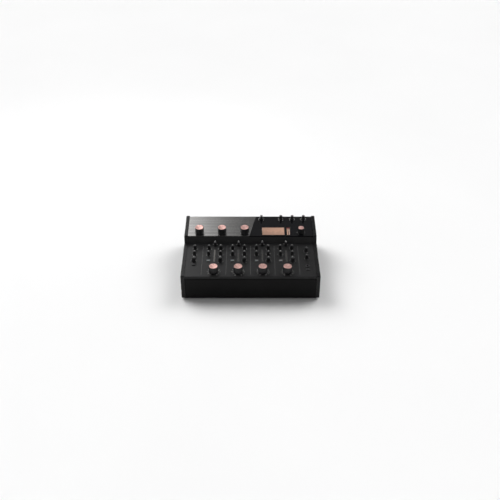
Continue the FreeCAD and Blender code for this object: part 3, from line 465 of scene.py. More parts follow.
def group(tree, name, **values):
    """A shared effect placed in a material with its own values; the effect is built on first use."""
    builders = {"fine_grain": fine_grain_group, "handling": handling_group, "brushed_lines": brushed_group}
    effect = bpy.data.node_groups.get(name) or builders[name]()
    return node(tree, "Group", values, node_tree=effect).outputs


# Materials

def palette():
    return bpy.context.scene.mixer_colours


def new_material(name):
    """An empty material and its node tree."""
    material = bpy.data.materials.new(name)
    material.use_nodes = True
    material.node_tree.nodes.clear()
    return material, material.node_tree


def shaded(material, **inputs):
    """The material with a Principled shader: links, or plain values set on the shader's own sockets."""
    tree = material.node_tree
    inputs = {label.replace("_", " "): value for label, value in inputs.items()}
    shader = node(tree, "BsdfPrincipled", inputs)
    node(tree, "OutputMaterial", {0: shader.outputs[0]})
    return material


def bump(tree, height, distance, strength=1.0):
    """Relief of a surface, with its depth in metres."""
    inputs = {"Height": height, "Distance": distance, "Strength": strength}
    return node(tree, "Bump", inputs).outputs[0]


PALE_DUST, DARK_DUST = (0.4, 0.4, 0.38, 1.0), (0.05, 0.05, 0.05, 1.0)
SPIN_MAP = "spin"


def coated(name, base, rough, grain, depth, contrast=1.25, dust=0.3, **plain):
    """Paint, plastic or rubber: clouded colour with dust, smeared gloss and a fine grain."""
    material, tree = new_material(name)
    fine, worn = group(tree, "fine_grain", Scale=grain), group(tree, "handling")
    tone = ramp(tree, fine["Shade"], shade(base, 1 / contrast), shade(base, contrast))
    specks = math_node(tree, "MULTIPLY", worn["Dust"], dust)
    return shaded(
        material, **plain,
        Base_Color=blend(tree, specks, tone, PALE_DUST),
        Roughness=spread(tree, worn["Smear"], 0, 1, *rough),
        Normal=bump(tree, fine["Height"], depth),
    )


def polished_black():
    """Polished black sheet with faint wiping marks under a clear coat."""
    material, tree = new_material("polished_black")
    worn, fine = group(tree, "handling", Scale=22.0), group(tree, "fine_grain", Scale=300.0)
    tone = ramp(tree, fine["Shade"], shade(palette().gloss, 0.8), shade(palette().gloss, 1.3))
    return shaded(
        material, Specular_IOR_Level=0.25, Coat_Roughness=0.05,
        Base_Color=blend(tree, worn["Dust"], tone, DARK_DUST),
        Roughness=spread(tree, worn["Smear"], 0, 1, 0.08, 0.15),
        Coat_Weight=spread(tree, worn["Smear"], 0, 1, 0.2, 0.1),
        Normal=bump(tree, fine["Height"], 0.00001, 0.3),
    )


def brushed_metal():
    """Dark anodised metal, brushed from side to side."""
    material, tree = new_material("brushed_metal")
    base = palette().brushed
    lines, worn = group(tree, "brushed_lines"), group(tree, "handling", Scale=18.0)
    gloss = spread(tree, lines["Shade"], 0, 1, 0.13, 0.19)
    return shaded(
        material, Metallic=1.0,
        Base_Color=ramp(tree, lines["Shade"], shade(base, 0.72), shade(base, 1.22)),
        Roughness=math_node(tree, "MULTIPLY_ADD", worn["Smear"], 0.06, gloss),
        Normal=bump(tree, lines["Height"], 0.00005, 0.08),
    )


def spun_metal():
    """Rose-coloured metal turned on a lathe: rings of tool marks that follow the radius in the map."""
    material, tree = new_material("spun_metal")
    spin = node(tree, "UVMap", uv_map=SPIN_MAP).outputs[0]
    marks = noise_along(tree, node(tree, "SeparateXYZ", {0: spin}).outputs[1], 5200.0, 3.0)
    gloss = spread(tree, marks, 0.3, 0.7, 0.25, 0.32)
    worn = group(tree, "handling", Scale=120.0)
    return shaded(
        material, Metallic=1.0, Anisotropic=0.6,
        Base_Color=ramp(tree, spread(tree, marks, 0.3, 0.7), shade(palette().cap, 0.86), palette().cap),
        Roughness=math_node(tree, "MULTIPLY_ADD", worn["Smear"], 0.05, gloss),
        Normal=bump(tree, marks, 0.00002, 0.5),
        Tangent=node(tree, "Tangent", direction_type="UV_MAP", uv_map=SPIN_MAP).outputs[0],
    )


def plated(name, base, rough):
    """Plated metal with faint wear."""
    material, tree = new_material(name)
    fine, worn = group(tree, "fine_grain", Scale=1800.0), group(tree, "handling", Scale=90.0)
    return shaded(
        material, Metallic=1.0,
        Base_Color=ramp(tree, fine["Shade"], shade(base, 0.8), base),
        Roughness=spread(tree, worn["Smear"], 0, 1, *rough),
        Normal=bump(tree, fine["Height"], 0.00001, 0.4),
    )


def clear_pane():
    """Clear pane over a display, with wiping marks that soften its gloss."""
    material, tree = new_material("clear_pane")
    worn = group(tree, "handling", Scale=26.0)
    return shaded(
        material, Transmission_Weight=1.0, IOR=1.46,
        Base_Color=ramp(tree, worn["Dust"], (0.93, 0.92, 0.9), (0.7, 0.7, 0.7)),
        Roughness=spread(tree, worn["Smear"], 0, 1, 0.0, 0.05),
    )


def lit(name, light, base):
    """A lit lens: soft unevenness in what it sends out, over a dark glossy body."""
    material, tree = new_material(name)
    fine = group(tree, "fine_grain", Scale=220.0)
    return shaded(
        material, Emission_Strength=1.0, Roughness=0.3,
        Emission_Color=ramp(tree, fine["Shade"], shade(light, 0.82), light),
        Base_Color=ramp(tree, fine["Shade"], shade(base, 0.8), base),
    )


def display_light(middle, size):
    """A lit display: a row of plain level columns under a thin line, on a warm ground."""
    material, tree = new_material("display_light")
    screen = palette().screen
    centred = node(tree, "VectorMath", {0: object_place(tree), 1: middle}, operation="SUBTRACT")
    parts = node(tree, "SeparateXYZ", {0: centred.outputs[0]}).outputs
    across, up = (
        math_node(tree, "ADD", math_node(tree, "DIVIDE", parts[i], size[i]), 0.5) for i in range(2)
    )
    columns = math_node(tree, "MULTIPLY", across, 26.0)
    level = noise_along(tree, math_node(tree, "FLOOR", columns), 0.37, 2.0)
    inside = math_node(tree, "LESS_THAN", math_node(tree, "FRACT", columns), 0.72)
    below = math_node(tree, "LESS_THAN", up, spread(tree, level, 0.3, 0.7, 0.2, 0.68))
    rows = math_node(tree, "MULTIPLY", up, 22.0)
    steps = math_node(tree, "LESS_THAN", math_node(tree, "FRACT", rows), 0.75)
    column = math_node(tree, "MULTIPLY", math_node(tree, "MULTIPLY", inside, below), steps)
    line = math_node(tree, "COMPARE", up, 0.8, 0.012)
    share = math_node(tree, "MULTIPLY", math_node(tree, "MAXIMUM", column, line), 0.5)
    ground = ramp(tree, across, shade(screen, 0.86), screen, shade(screen, 1.12))
    return shaded(
        material, Emission_Strength=1.0, Roughness=0.35,
        Emission_Color=blend(tree, share, ground, (*shade(screen, 0.3), 1.0)),
        Base_Color=ramp(tree, up, (0.02, 0.016, 0.014), (0.03, 0.022, 0.02)),
    )


def circuit_board():
    """Lacquered board with a fine net of tracks."""
    material, tree = new_material("circuit_board")
    inputs = {"Vector": object_place(tree), "Scale": 240.0}
    tracks = node(tree, "TexVoronoi", inputs, distance="MANHATTAN", feature="F1").outputs[0]
    tone = ramp(tree, tracks, (0.012, 0.06, 0.025), (0.02, 0.1, 0.04))
    return shaded(material, Roughness=0.35, Base_Color=tone, Normal=bump(tree, tracks, 0.00003))


def floor_paper():
    """Matte white paper with a faint tooth."""
    material, tree = new_material("floor_paper")
    place = object_place(tree)
    return shaded(
        material, Roughness=0.9, Specular_IOR_Level=0.1,
        Base_Color=ramp(tree, noise(tree, place, 1.5), (0.86, 0.86, 0.86), (0.9, 0.9, 0.9)),
        Normal=bump(tree, noise(tree, place, 400.0, 3.0), 0.0001, 0.2),
    )


# Coats: colour, or its name in the user's colours; least and most roughness; scale and depth of grain; more
INK = ((0.45, 0.6), 3000.0, 0.000008, {"contrast": 1.12, "dust": 0.1})
COATS = {
    "deck_paint": ("deck", (0.3, 0.38), 1500.0, 0.00002, {"Specular_IOR_Level": 0.27}),
    "cheek_finish": ("cheek", (0.26, 0.34), 2200.0, 0.00001, {"Specular_IOR_Level": 0.21}),
    "front_finish": ("front", (0.4, 0.5), 2200.0, 0.00002, {"Specular_IOR_Level": 0.09}),
    "tray_paint": ("tray", (0.5, 0.66), 700.0, 0.00009, {"Specular_IOR_Level": 0.4}),
    "soft_grip": ("grip", (0.38, 0.55), 2600.0, 0.00002, {"dust": 0.5, "Specular_IOR_Level": 0.4}),
    "button_lens": (
        "lens", (0.3, 0.42), 1800.0, 0.00001,
        {"dust": 0.15, "Subsurface_Weight": 0.25, "Subsurface_Scale": 0.002},
    ),
    "moulded_black": ((0.012, 0.012, 0.013), (0.3, 0.42), 1300.0, 0.00003, {}),
    "soft_rubber": ((0.016, 0.016, 0.016), (0.7, 0.85), 900.0, 0.00006, {"Specular_IOR_Level": 0.25}),
    "supply_varnish": ((0.09, 0.075, 0.05), (0.3, 0.5), 500.0, 0.00005, {}),
    "strip_lens": ((0.03, 0.03, 0.03), (0.25, 0.35), 900.0, 0.00001, {}),
    "collar_red": ((0.3, 0.012, 0.012), (0.35, 0.5), 1500.0, 0.00001, {}),
    "collar_white": ((0.6, 0.6, 0.58), (0.35, 0.5), 1500.0, 0.00001, {}),
    "ink_light": ("ink", *INK),
    "ink_white": ("pointer", *INK),
    "ink_grey": ((0.2, 0.2, 0.2), *INK),
    "ink_dark": ((0.012, 0.012, 0.012), *INK),
    "pointer_black": ((0.006, 0.006, 0.006), *INK),
}

# Platings: colour, and least and most roughness
PLATINGS = {
    "screw_black": ((0.06, 0.06, 0.062), (0.3, 0.42)),
    "jack_black": ((0.03, 0.03, 0.031), (0.3, 0.42)),
    "nickel": ((0.72, 0.69, 0.63), (0.2, 0.32)),
}

OTHERS = {
    "polished_black": polished_black, "brushed_metal": brushed_metal, "spun_metal": spun_metal,
    "clear_pane": clear_pane, "circuit_board": circuit_board,
}


def finish(name):
    """A finish of the three tables above, made once and then shared."""
    made = bpy.data.materials.get(name)
    if made:
        return made
    if name in COATS:
        base, rough, grain, depth, more = COATS[name]
        base = getattr(palette(), base) if isinstance(base, str) else base
        return coated(name, base, rough, grain, depth, **more)
    return plated(name, *PLATINGS[name]) if name in PLATINGS else OTHERS[name]()


# Pieces

def new_object(name, shape, material, crease=30.0):
    """An object at the origin, with its place in its mesh and edges sharper than the crease kept sharp."""
    points, faces = shape
    mesh = bpy.data.meshes.new(name)
    mesh.from_pydata(points.tolist(), [], faces)
    mesh.materials.append(material)
    mesh.shade_smooth()
    mesh.set_sharp_from_angle(angle=math.radians(crease))
    made = bpy.data.objects.new(name, mesh)
    bpy.context.scene.collection.objects.link(made)
    return made


def piece(name, shape, material, body="case", crease=30.0):
    """A piece, from one shape or a list, in a material or a finish by its name; it rides on a body."""
    shape = joined(shape) if isinstance(shape, list) else shape
    material = finish(material) if isinstance(material, str) else material
    made = new_object(name, shape, material, crease)
    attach(made, body)
    return made


def add_spin_map(made, place):
    """A map whose first value is the angle about the axis and whose second is the distance from it."""
    axes, origin = place
    mesh = made.data
    local = (points_of(mesh) - origin) @ axes.T
    corners = np.empty(len(mesh.loops), np.int32)
    mesh.loops.foreach_get("vertex_index", corners)
    turn = np.arctan2(local[:, 1], local[:, 0]) / (2 * math.pi) + 0.5
    values = np.column_stack([turn, np.hypot(local[:, 0], local[:, 1])])
    layer = mesh.uv_layers.new(name=SPIN_MAP)
    layer.data.foreach_set("uv", values[corners].astype(np.float32).ravel())


CASE_FINISHES = {
    "base_tray": "tray_paint", "rear_panel": "tray_paint", "front_panel": "front_finish",
    "left_cheek": "cheek_finish", "right_cheek": "cheek_finish", "deck_panel": "deck_paint",
    "isolator_panel": "brushed_metal", "effects_panel": "polished_black", "windows": "clear_pane",
    "control_boards": "circuit_board", "power_supply": "supply_varnish", "sockets": "moulded_black",
    "rubber_feet": "soft_rubber", "power_switch": "moulded_black",
}


class MIXER_OT_case(bpy.types.Operator):
    """Give every solid of the mixer its finish"""
    bl_idname = "mixer.case"
    bl_label = "Case finishes"

    def execute(self, context):
        for name, solid in frame["nodes"].items():
            plain = "button_lens" if name.endswith("cue_button") else "soft_grip"
            material = finish(CASE_FINISHES.get(name, plain))
            for slot in solid.material_slots:
                slot.material = material
        return {"FINISHED"}


def scallops(knobs, low, high):
    """How round grooves take the radius in: each is a circle about a point outside the barrel."""
    def wave(radius, height, angle):
        pitch = 2 * math.pi / knobs.flutes
        offset = (angle + pitch / 2) % pitch - pitch / 2
        middle = radius - knobs.flute_depth + knobs.flute_round
        bite = np.sqrt(np.clip(knobs.flute_round ** 2 - (radius * offset) ** 2, 0, None))
        grooved = np.where(bite > 0, np.minimum(radius, middle - bite), radius)
        return np.where((height > low) & (height < high), grooved, radius)
    return wave


def grip_shape(knobs, radius, top):
    """A large knob's barrel: plain skirt, fluted sides that taper a little, and a rim around the cap."""
    foot, cap = knobs.lift, radius - knobs.rim
    band = foot + knobs.skirt
    lean = radius - 0.6 * MM
    core = 0.5 * MM
    side = np.linspace(0, 1, 9)[:, None]
    sides = (1 - side) * np.array([radius, band + 0.4 * MM]) + side * np.array([lean, top - 1.0 * MM])
    profile = [(core, foot), (radius - 0.5 * MM, foot)]
    profile += rounded((radius - MM, foot), (radius, foot), (radius, band), 0.4 * MM)
    profile += [(radius, band), (radius, band + 0.15 * MM), (radius - 0.02 * MM, band + 0.3 * MM)]
    profile += sides.tolist()
    profile += rounded((lean, band), (lean, top), (cap, top), 0.55 * MM)
    profile += rounded((lean, top), (cap, top), (cap, top - MM), 0.2 * MM, 3)
    profile += [(cap, top - knobs.cap_depth), (core, top - knobs.cap_depth)]
    return spun(profile, knobs.flutes * 10, scallops(knobs, band + 0.2 * MM, top - 0.9 * MM))


# Radius of the bowl in a cap, and ends of the line in it, as shares of the cap's radius
BOWL, POINTER_SPAN = 0.88, (0.46, 0.91)


def cap_height(knobs, cap, top, radius):
    """Height of the cap's face at a distance from its axis: a shallow bowl inside a flat rim."""
    bowl = np.clip(1 - (radius / (cap * BOWL)) ** 2, 0, 1)
    return top + knobs.cap_proud - knobs.cap_dish * bowl


def cap_shape(knobs, radius, top):
    """The metal cap: side, bright chamfer, flat rim and bowl, turned about the knob's axis."""
    cap = radius - knobs.rim - 0.04 * MM
    face = top + knobs.cap_proud
    bottom = top - knobs.cap_depth + 0.02 * MM
    profile = [(0.5 * MM, bottom), (cap, bottom)]
    profile += rounded((cap, bottom), (cap, face), (0, face), 0.45 * MM, 6)
    inner = np.linspace(0.93, 0.03, 22) * cap
    profile += np.column_stack([inner, cap_height(knobs, cap, top, inner)]).tolist()
    return spun(profile, 144)


class MIXER_OT_large_knobs(bpy.types.Operator):
    """Make the fluted grips and the spun metal caps of the large knobs"""
    bl_idname = "mixer.large_knobs"
    bl_label = "Large knobs"

    def execute(self, context):
        knobs = context.scene.mixer_knobs
        for name in LARGE_KNOBS:
            place = place_of(name)
            radius, height = reach_of(name)
            top = height - knobs.cap_proud
            shape = placed(grip_shape(knobs, radius, top), place)
            grip = piece(name + "_grip", shape, "soft_grip", name, GRIP_CREASE)
            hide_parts(name)
            shape = placed(cap_shape(knobs, radius, top), place)
            cap = piece(name + "_cap", shape, "spun_metal", name, CAP_CREASE)
            add_spin_map(cap, place)
            edge = radius - knobs.rim
            way = np.linspace(*POINTER_SPAN, 12) * edge
            path = np.column_stack([way, cap_height(knobs, edge, top, way) + 0.02 * MM])
            shape = placed(strip(path, knobs.pointer, 0.15 * MM), place)
            piece(name + "_pointer", shape, "pointer_black", name)
        return {"FINISHED"}


class MIXER_OT_pointers(bpy.types.Operator):
    """Lay white pointers into the small knobs and the selectors"""
    bl_idname = "mixer.pointers"
    bl_label = "Pointers"

    def execute(self, context):
        knobs = context.scene.mixer_knobs
        for name in SMALL_KNOBS + SELECTORS:
            radius, height = reach_of(name)
            inset = 0.4 * MM if name in SELECTORS else knobs.foot_flare + knobs.taper
            edge = radius - inset - knobs.inlay_sunk
            top = height - knobs.inlay_sunk
            path = [(edge * 0.4, top), (edge * 0.6, top)]
            path += rounded((0, top), (edge, top), (edge, 0), knobs.crown, 7)
            path += [(edge, height * 0.6), (edge, height * 0.42)]
            shape = placed(strip(path, knobs.inlay, knobs.inlay_depth), place_of(name))
            piece(name + "_pointer", shape, "ink_white", name)
        return {"FINISHED"}


def knob_scale(printing, name, count, tick=1.0):
    """Scale marks around a knob, at equal angles to both sides of the back, pointing at its axis."""
    tick *= printing.tick
    radius = reach_of(name)[0] + printing.ring_gap + tick / 2
    angles = np.linspace(-KNOB_SWEEP, KNOB_SWEEP, count)
    marks = [bar(bearing(a) * radius, tick, printing.stroke, a, printing.ink) for a in angles]
    return placed(joined(marks), place_of(name))


def numbered_scale(printing, name, texts, clear):
    """A large knob's scale, with upright numbers that clear its marks by a share of a number's height."""
    long_tick = LONG_TICK * printing.tick
    radius = reach_of(name)[0] + printing.ring_gap + long_tick + clear * printing.figure
    shapes = [knob_scale(printing, name, LARGE_SCALE, LONG_TICK)]
    for text, spot in zip(texts, bearing(np.linspace(-KNOB_SWEEP, KNOB_SWEEP, len(texts))) * radius):
        number = moved(figure(text, printing.figure * DIAL_FIGURE, printing.ink), (*spot, 0))
        shapes.append(placed(number, place_of(name)))
    return shapes


def selector_dots(printing, name, count, sweep):
    """Position dots behind a selector."""
    radius = reach_of(name)[0] + printing.ring_gap + printing.dot
    dot = spun([(printing.dot, 0), (printing.dot, printing.ink)], 16)
    spots = bearing(np.linspace(-sweep, sweep, count)) * radius
    return placed(joined([moved(dot, (*spot, 0)) for spot in spots]), place_of(name))


class MIXER_OT_deck_print(bpy.types.Operator):
    """Print the scales, numbers and lines on the deck"""
    bl_idname = "mixer.deck_print"
    bl_label = "Deck print"

    def execute(self, context):
        printing = context.scene.mixer_print
        left = -19 * MM
        shapes = [knob_scale(printing, name, SMALL_SCALE) for name in SMALL_KNOBS if name not in EFFECTS]
        texts = [str(n) for n in range(11)]
        for channel, (knob, selector) in enumerate(zip(LEVEL_KNOBS, INPUT_SELECTORS), 1):
            shapes += numbered_scale(printing, knob, texts, clear=0.75)
            shapes.append(selector_dots(printing, selector, 5, INPUT_SWEEP))
            number = figure(str(channel), printing.figure * CHANNEL_FIGURE, printing.ink)
            shapes.append(placed(moved(number, (left, 0, 0)), place_of(selector)))
        piece("deck_print", shapes, "ink_light")

        xs = [place_of(name)[1][0] for name in LEVEL_KNOBS]
        pitch = xs[1] - xs[0]
        edges = [xs[0] - pitch / 2] + [x + pitch / 2 for x in xs]
        first, last = 12 * MM, place_of(INPUT_SELECTORS[0])[1][1] - FRONT - 4 * MM
        middle, reach = (first + last) / 2, last - first
        lines = [bar((x, middle), reach, printing.divider, 0.0, printing.ink) for x in edges]
        piece("deck_lines", placed(joined(lines), DECK), "ink_grey")
        return {"FINISHED"}


class MIXER_OT_bridge_print(bpy.types.Operator):
    """Print the scales of the isolator and of the effects"""
    bl_idname = "mixer.bridge_print"
    bl_label = "Bridge print"

    def execute(self, context):
        printing = context.scene.mixer_print
        dark = []
        for name in ISOLATORS:
            dark += numbered_scale(printing, name, ("0", "5", "10"), clear=0.6)
        piece("isolator_print", dark, "ink_dark")

        light = [knob_scale(printing, name, SMALL_SCALE) for name in SMALL_KNOBS if name in EFFECTS]
        light.append(knob_scale(printing, "master_level_knob", LARGE_SCALE))
        light.append(selector_dots(printing, "effect_selector", 6, EFFECT_SWEEP))
        for name in EFFECTS:
            radius = reach_of(name)[0] + printing.ring_gap + printing.tick + 0.6 * MM
            light.append(placed(arc_line(radius, KNOB_SWEEP, 0.3 * MM, printing.ink), place_of(name)))
        piece("effects_print", light, "ink_light")
        return {"FINISHED"}


def window_boxes():
    """Each window as its panel's place, its middle and size: the two of the bridge, then the channels'."""
    points = vertices_of("windows")
    high = points[:, 2] > DECK_HEIGHT + 10 * MM
    found = []
    for place, some in ((BRIDGE, points[high]), (DECK, points[~high])):
        local = (some - place[1]) @ place[0].T
        face = local[local[:, 2] > -0.1 * MM]
        sides = runs(face[:, 0], 2 * MM)
        for left, right in zip(sides[::2], sides[1::2]):
            low, high = face[left].min(0), face[right].max(0)
            found.append((place, (low + high)[:2] / 2, (high - low)[:2]))
    return found


class MIXER_OT_display(bpy.types.Operator):
    """Make the display, the master meter and their panes"""
    bl_idname = "mixer.display"
    bl_label = "Display"

    def execute(self, context):
        printing = context.scene.mixer_print
        pane_depth, ledge, floor, screen, backing = (n * MM for n in (1.5, 3.0, -2.9, 0.8, 0.4))
        for name, (place, middle, size) in zip(("display", "meter"), window_boxes()):
            pane = moved(slab(*size, -pane_depth, 0, 0.8 * MM, 0.15 * MM), (*middle, 0))
            made = piece(name + "_pane", placed(pane, place), "clear_pane")
            size = size - 2 * ledge - 0.1 * MM
            rise = screen if name == "display" else backing
            plate = placed(moved(slab(*size, floor, floor + rise, 0.8 * MM, 0.1 * MM), (*middle, 0)), place)
            if name == "display":
                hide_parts("windows")
                world = placed((np.array([[*middle, 0.0]]), []), place)[0][0]
                material = display_light(tuple(world), size)
                piece("display_screen", plate, material)
            else:
                material = lit("meter_backing", (0.07, 0.004, 0.006), (0.01, 0.004, 0.004))
                piece("meter_backing", plate, material)
                self.columns(place, middle, size, floor + rise, printing)
        return {"FINISHED"}

    def columns(self, place, middle, size, floor, printing):
        """Two columns of lit segments, the last ones of each red."""
        pitch = size[1] / printing.segments
        lights = {"rose": [], "cream": [], "red": []}
        width, last = size[0] * 0.2, printing.segments - 2
        segment = slab(width, pitch - printing.segment_gap, 0, 0.5 * MM, 0.3 * MM, 0.1 * MM, 3)
        for light, offset in (("rose", -0.38), ("cream", 0.21)):
            for i in range(printing.segments):
                spot = (middle[0] + offset * size[0], middle[1] + (i + 0.5) * pitch - size[1] / 2, floor)
                lights["red" if i >= last else light].append(moved(segment, spot))
        red = (0.3, 0.025, 0.02)
        shades = {"rose": (palette().rose, 0.35), "cream": (palette().cream, 0.35), "red": (red, 0.5)}
        for light, (glow, body) in shades.items():
            material = lit("segment_" + light, glow, shade(glow, body))
            piece("master_" + light, placed(joined(lights[light]), place), material)


class MIXER_OT_channel_meters(bpy.types.Operator):
    """Make the channels' meter strips and their segments"""
    bl_idname = "mixer.channel_meters"
    bl_label = "Channel meters"

    def execute(self, context):
        printing = context.scene.mixer_print
        # The first channel's segments all glow evenly in pale cream whatever their step: painted glow that
        # makes that strip lighter, not a level shown by the meter
        glows = {
            "live": (0.085, 0.079, 0.07), "green": (0.006, 0.0055, 0.003),
            "amber": (0.014, 0.008, 0.005), "dull": (0.0, 0.0, 0.0),
        }
        green_end, amber_end = 0.5, 0.66
        strips, tiles = [], {light: [] for light in glows}
        for channel, (place, middle, size) in enumerate(window_boxes()[2:]):
            strips.append(placed(moved(slab(*size, -1.5 * MM, 0, 0.8 * MM, 0.12 * MM), (*middle, 0)), place))
            pitch = (size[1] - 1.6 * MM) / printing.steps
            width = size[0] - 2.0 * MM
            tile = slab(width, pitch - printing.segment_gap, 0, 0.06 * MM, 0.3 * MM, 0.03 * MM, 3)
            for i in range(printing.steps):
                offset = (middle[0], middle[1] + (i + 0.5 - printing.steps / 2) * pitch, 0)
                level = (i + 0.5) / printing.steps
                light = "green" if level < green_end else "amber" if level < amber_end else "dull"
                # every segment of the first channel gets the painted glow
                tiles[light if channel else "live"].append(placed(moved(tile, offset), place))
        piece("channel_strips", strips, "strip_lens")
        for light, glow in glows.items():
            material = lit("channel_" + light, glow, (0.02, 0.02, 0.019))
            piece("channel_" + light, tiles[light], material)
        return {"FINISHED"}


# Radius and height of a screw's head and half the width of its socket, in millimetres
CHEEK_SCREW, SHEET_SCREW, FOOT_SCREW = (3.6, 2.5, 1.25), (2.8, 1.7, 1.0), (3.9, 2.2, 1.2)


def screw_shape(size):
    """A round-headed screw: rings that change from circles outside to a hexagon in its socket."""
    radius, height, key = (part * MM for part in size)
    angle = around(48)
    hexagon = key / np.cos((angle + math.pi / 6) % (math.pi / 3) - math.pi / 6)
    circle = np.full(len(angle), radius)
    rows = [(circle * 0.3, 0), (circle, 0), (circle, height * 0.35)]
    lean = np.linspace(0, math.pi / 2, 7)[1:]
    rows += [(circle * (0.72 + 0.28 * math.cos(t)), height * (0.35 + 0.65 * math.sin(t))) for t in lean]
    rows += [(hexagon + 0.12 * MM, height), (hexagon, height - 0.1 * MM)]
    rows += [(hexagon, height * 0.3), (hexagon * 0.1, height * 0.25)]
    return capped(rings(np.stack([r for r, z in rows]), np.array([[z] for r, z in rows]), angle))


def copies(shape, axes, spots):
    """A shape set at several places, turned alike."""
    return [placed(shape, (axes, np.array(spot, float))) for spot in spots]


class MIXER_OT_screws(bpy.types.Operator):
    """Set the screws of the cheeks, the rear panel, the tray and the feet"""
    bl_idname = "mixer.screws"
    bl_label = "Screws"

    def execute(self, context):
        recess, inset, near = 3.2 * MM, 7 * MM, 0.05 * MM
        head = screw_shape(CHEEK_SCREW)
        for name, side in (("left_cheek", -1), ("right_cheek", 1)):
            low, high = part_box(name)
            floor = low.x + recess if side < 0 else high.x - recess
            points = vertices_of(name)
            found = middles(points[abs(points[:, 0] - floor) < near][:, 1:], 3 * MM)
            axes = np.array([[0, side, 0], [0, 0, 1], [side, 0, 0]], float)
            shapes = copies(head, axes, [(floor, y, z) for y, z in found])
            piece(name + "_screws", shapes, "screw_black", crease=METAL_CREASE)

        low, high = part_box("rear_panel")
        head = screw_shape(SHEET_SCREW)
        across, up = (low.x + inset, 0.0, high.x - inset), (low.z + inset, high.z - inset)
        shapes = copies(head, TO_REAR, [(x, high.y, z) for x in across for z in up])
        piece("rear_screws", shapes, "screw_black", crease=METAL_CREASE)

        low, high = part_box("base_tray")
        across, along = (low.x * 0.5, 0.0, high.x * 0.5), (low.y + inset, high.y - inset)
        shapes = copies(head, TO_FLOOR, [(x, y, low.z) for x in across for y in along])
        feet = vertices_of("rubber_feet")
        rise = feet[:, 2].max() / 2
        head = screw_shape(FOOT_SCREW)
        found = middles(feet[feet[:, 2] < near][:, :2], 20 * MM)
        shapes += copies(head, TO_FLOOR, [(x, y, rise) for x, y in found])
        piece("tray_screws", shapes, "screw_black", crease=METAL_CREASE)
        return {"FINISHED"}


def tube(inner, outer, bottom, top, columns=40):
    """A plain ring with softened edges, as a closed wall turned about its axis."""
    edge = min(0.15 * MM, (outer - inner) / 3)
    wall = np.array([
        (inner, bottom), (outer, bottom), (outer, top - edge),
        (outer - edge, top), (inner + edge, top), (inner, top - edge),
    ])
    points = rings(wall[:, :1], wall[:, 1:], around(columns)).reshape(-1, 3)
    faces = np.array(ring_faces(len(wall) + 1, columns)) % len(points)
    return points, faces.tolist()


class MIXER_OT_sockets(bpy.types.Operator):
    """Dress the sockets: plated sleeves, coloured collars and jack washers"""
    bl_idname = "mixer.sockets"
    bl_label = "Sockets"

    def execute(self, context):
        points = vertices_of("sockets")
        reach = points[:, 1].max()
        barrel = points[points[:, 1] > reach - 0.05 * MM][:, [0, 2]]
        spots = middles(barrel, 2 * MM)
        first = abs(barrel - spots[0])
        radius = first[first.max(1) < 6 * MM].max()
        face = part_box("rear_panel")[1].y
        flange = 1.2 * MM
        sleeve = tube(radius + 0.02 * MM, radius + 0.2 * MM, flange, reach - face - 0.05 * MM)
        collar = tube(radius + 0.25 * MM, radius + 1.6 * MM, flange, flange + 0.7 * MM)
        half_way = np.mean([z for x, z in spots])
        upper = [spot for spot in spots if spot[1] > half_way]
        lower = [spot for spot in spots if spot[1] <= half_way]
        rows = {
            "phono_sleeves": (sleeve, spots, "nickel", "screw_steel"),
            "phono_collars_red": (collar, lower, "collar_red", "socket_black"),
            "phono_collars_white": (collar, upper, "collar_white", "socket_black"),
        }
        for name, (shape, some, material, slot) in rows.items():
            shapes = copies(shape, TO_REAR, [(x, face, z) for x, z in some])
            piece(name, shapes, material, crease=METAL_CREASE)
        self.jack_washers(points)
        return {"FINISHED"}

    def jack_washers(self, points):
        """Thin plated washers around the jacks on the deck."""
        top = points[:, 2].max()
        rims = points[points[:, 2] > top - 0.05 * MM][:, :2]
        shapes = []
        for x, y in middles(rims, 5 * MM):
            away = np.hypot(rims[:, 0] - x, rims[:, 1] - y)
            inner = away[away < 9 * MM].max() + 0.6 * MM
            washer = tube(inner, inner + 1.4 * MM, 0, 0.7 * MM, 64)
            shapes += copies(washer, DECK[0], [(x, y, DECK_HEIGHT)])
        piece("jack_washers", shapes, "jack_black", crease=METAL_CREASE)


# Sky: glow at its foot and higher up, the heights between them, and bright patches by direction and strength
SKY_GLOW, SKY_BAND = (1.1, 0.28), (0.03, 0.4)
SKY_PATCHES = (((-0.525, 0.473, 0.707), 7.5), ((0.56, 0.44, 0.7), 5.4))
PATCH_EDGE = (0.9, 0.98)  # cosines of the angles at which a patch begins and is full

# Soft light: the share of its width over which it fades, and how fast
FADE_END, FADE_POWER = 0.4, 1.7

# Camera: sensor and focal length in millimetres, place from the front of the case, and tilt
SENSOR, FOCAL_LENGTH = 36.0, 53.65
CAMERA_SIDE, CAMERA_BACK, CAMERA_HEIGHT = -0.0015, 1.8272, 1.4985
CAMERA_TILT = math.radians(54.43)
FLOOR_HALF = 60.0


def softbox(name, location, target, size, power):
    """A soft light behind the mixer that fades out across its width."""
    light = bpy.data.lights.new(name, "AREA")
    light.shape = "RECTANGLE"
    light.size, light.size_y = size
    light.energy = power
    light.use_nodes = True
    tree = light.node_tree
    tree.nodes.clear()
    face = node(tree, "NewGeometry").outputs["Parametric"]
    across = node(tree, "SeparateXYZ", {0: face}).outputs[0]
    fade = math_node(tree, "POWER", spread(tree, across, 0.0, FADE_END), FADE_POWER)
    glow = node(tree, "Emission", {1: fade})
    node(tree, "OutputLight", {0: glow.outputs[0]})
    made = bpy.data.objects.new(name, light)
    made.location = location
    made.visible_camera = False
    bpy.context.scene.collection.objects.link(made)
    made.rotation_euler = (Vector(target) - Vector(location)).to_track_quat("-Z", "Y").to_euler()


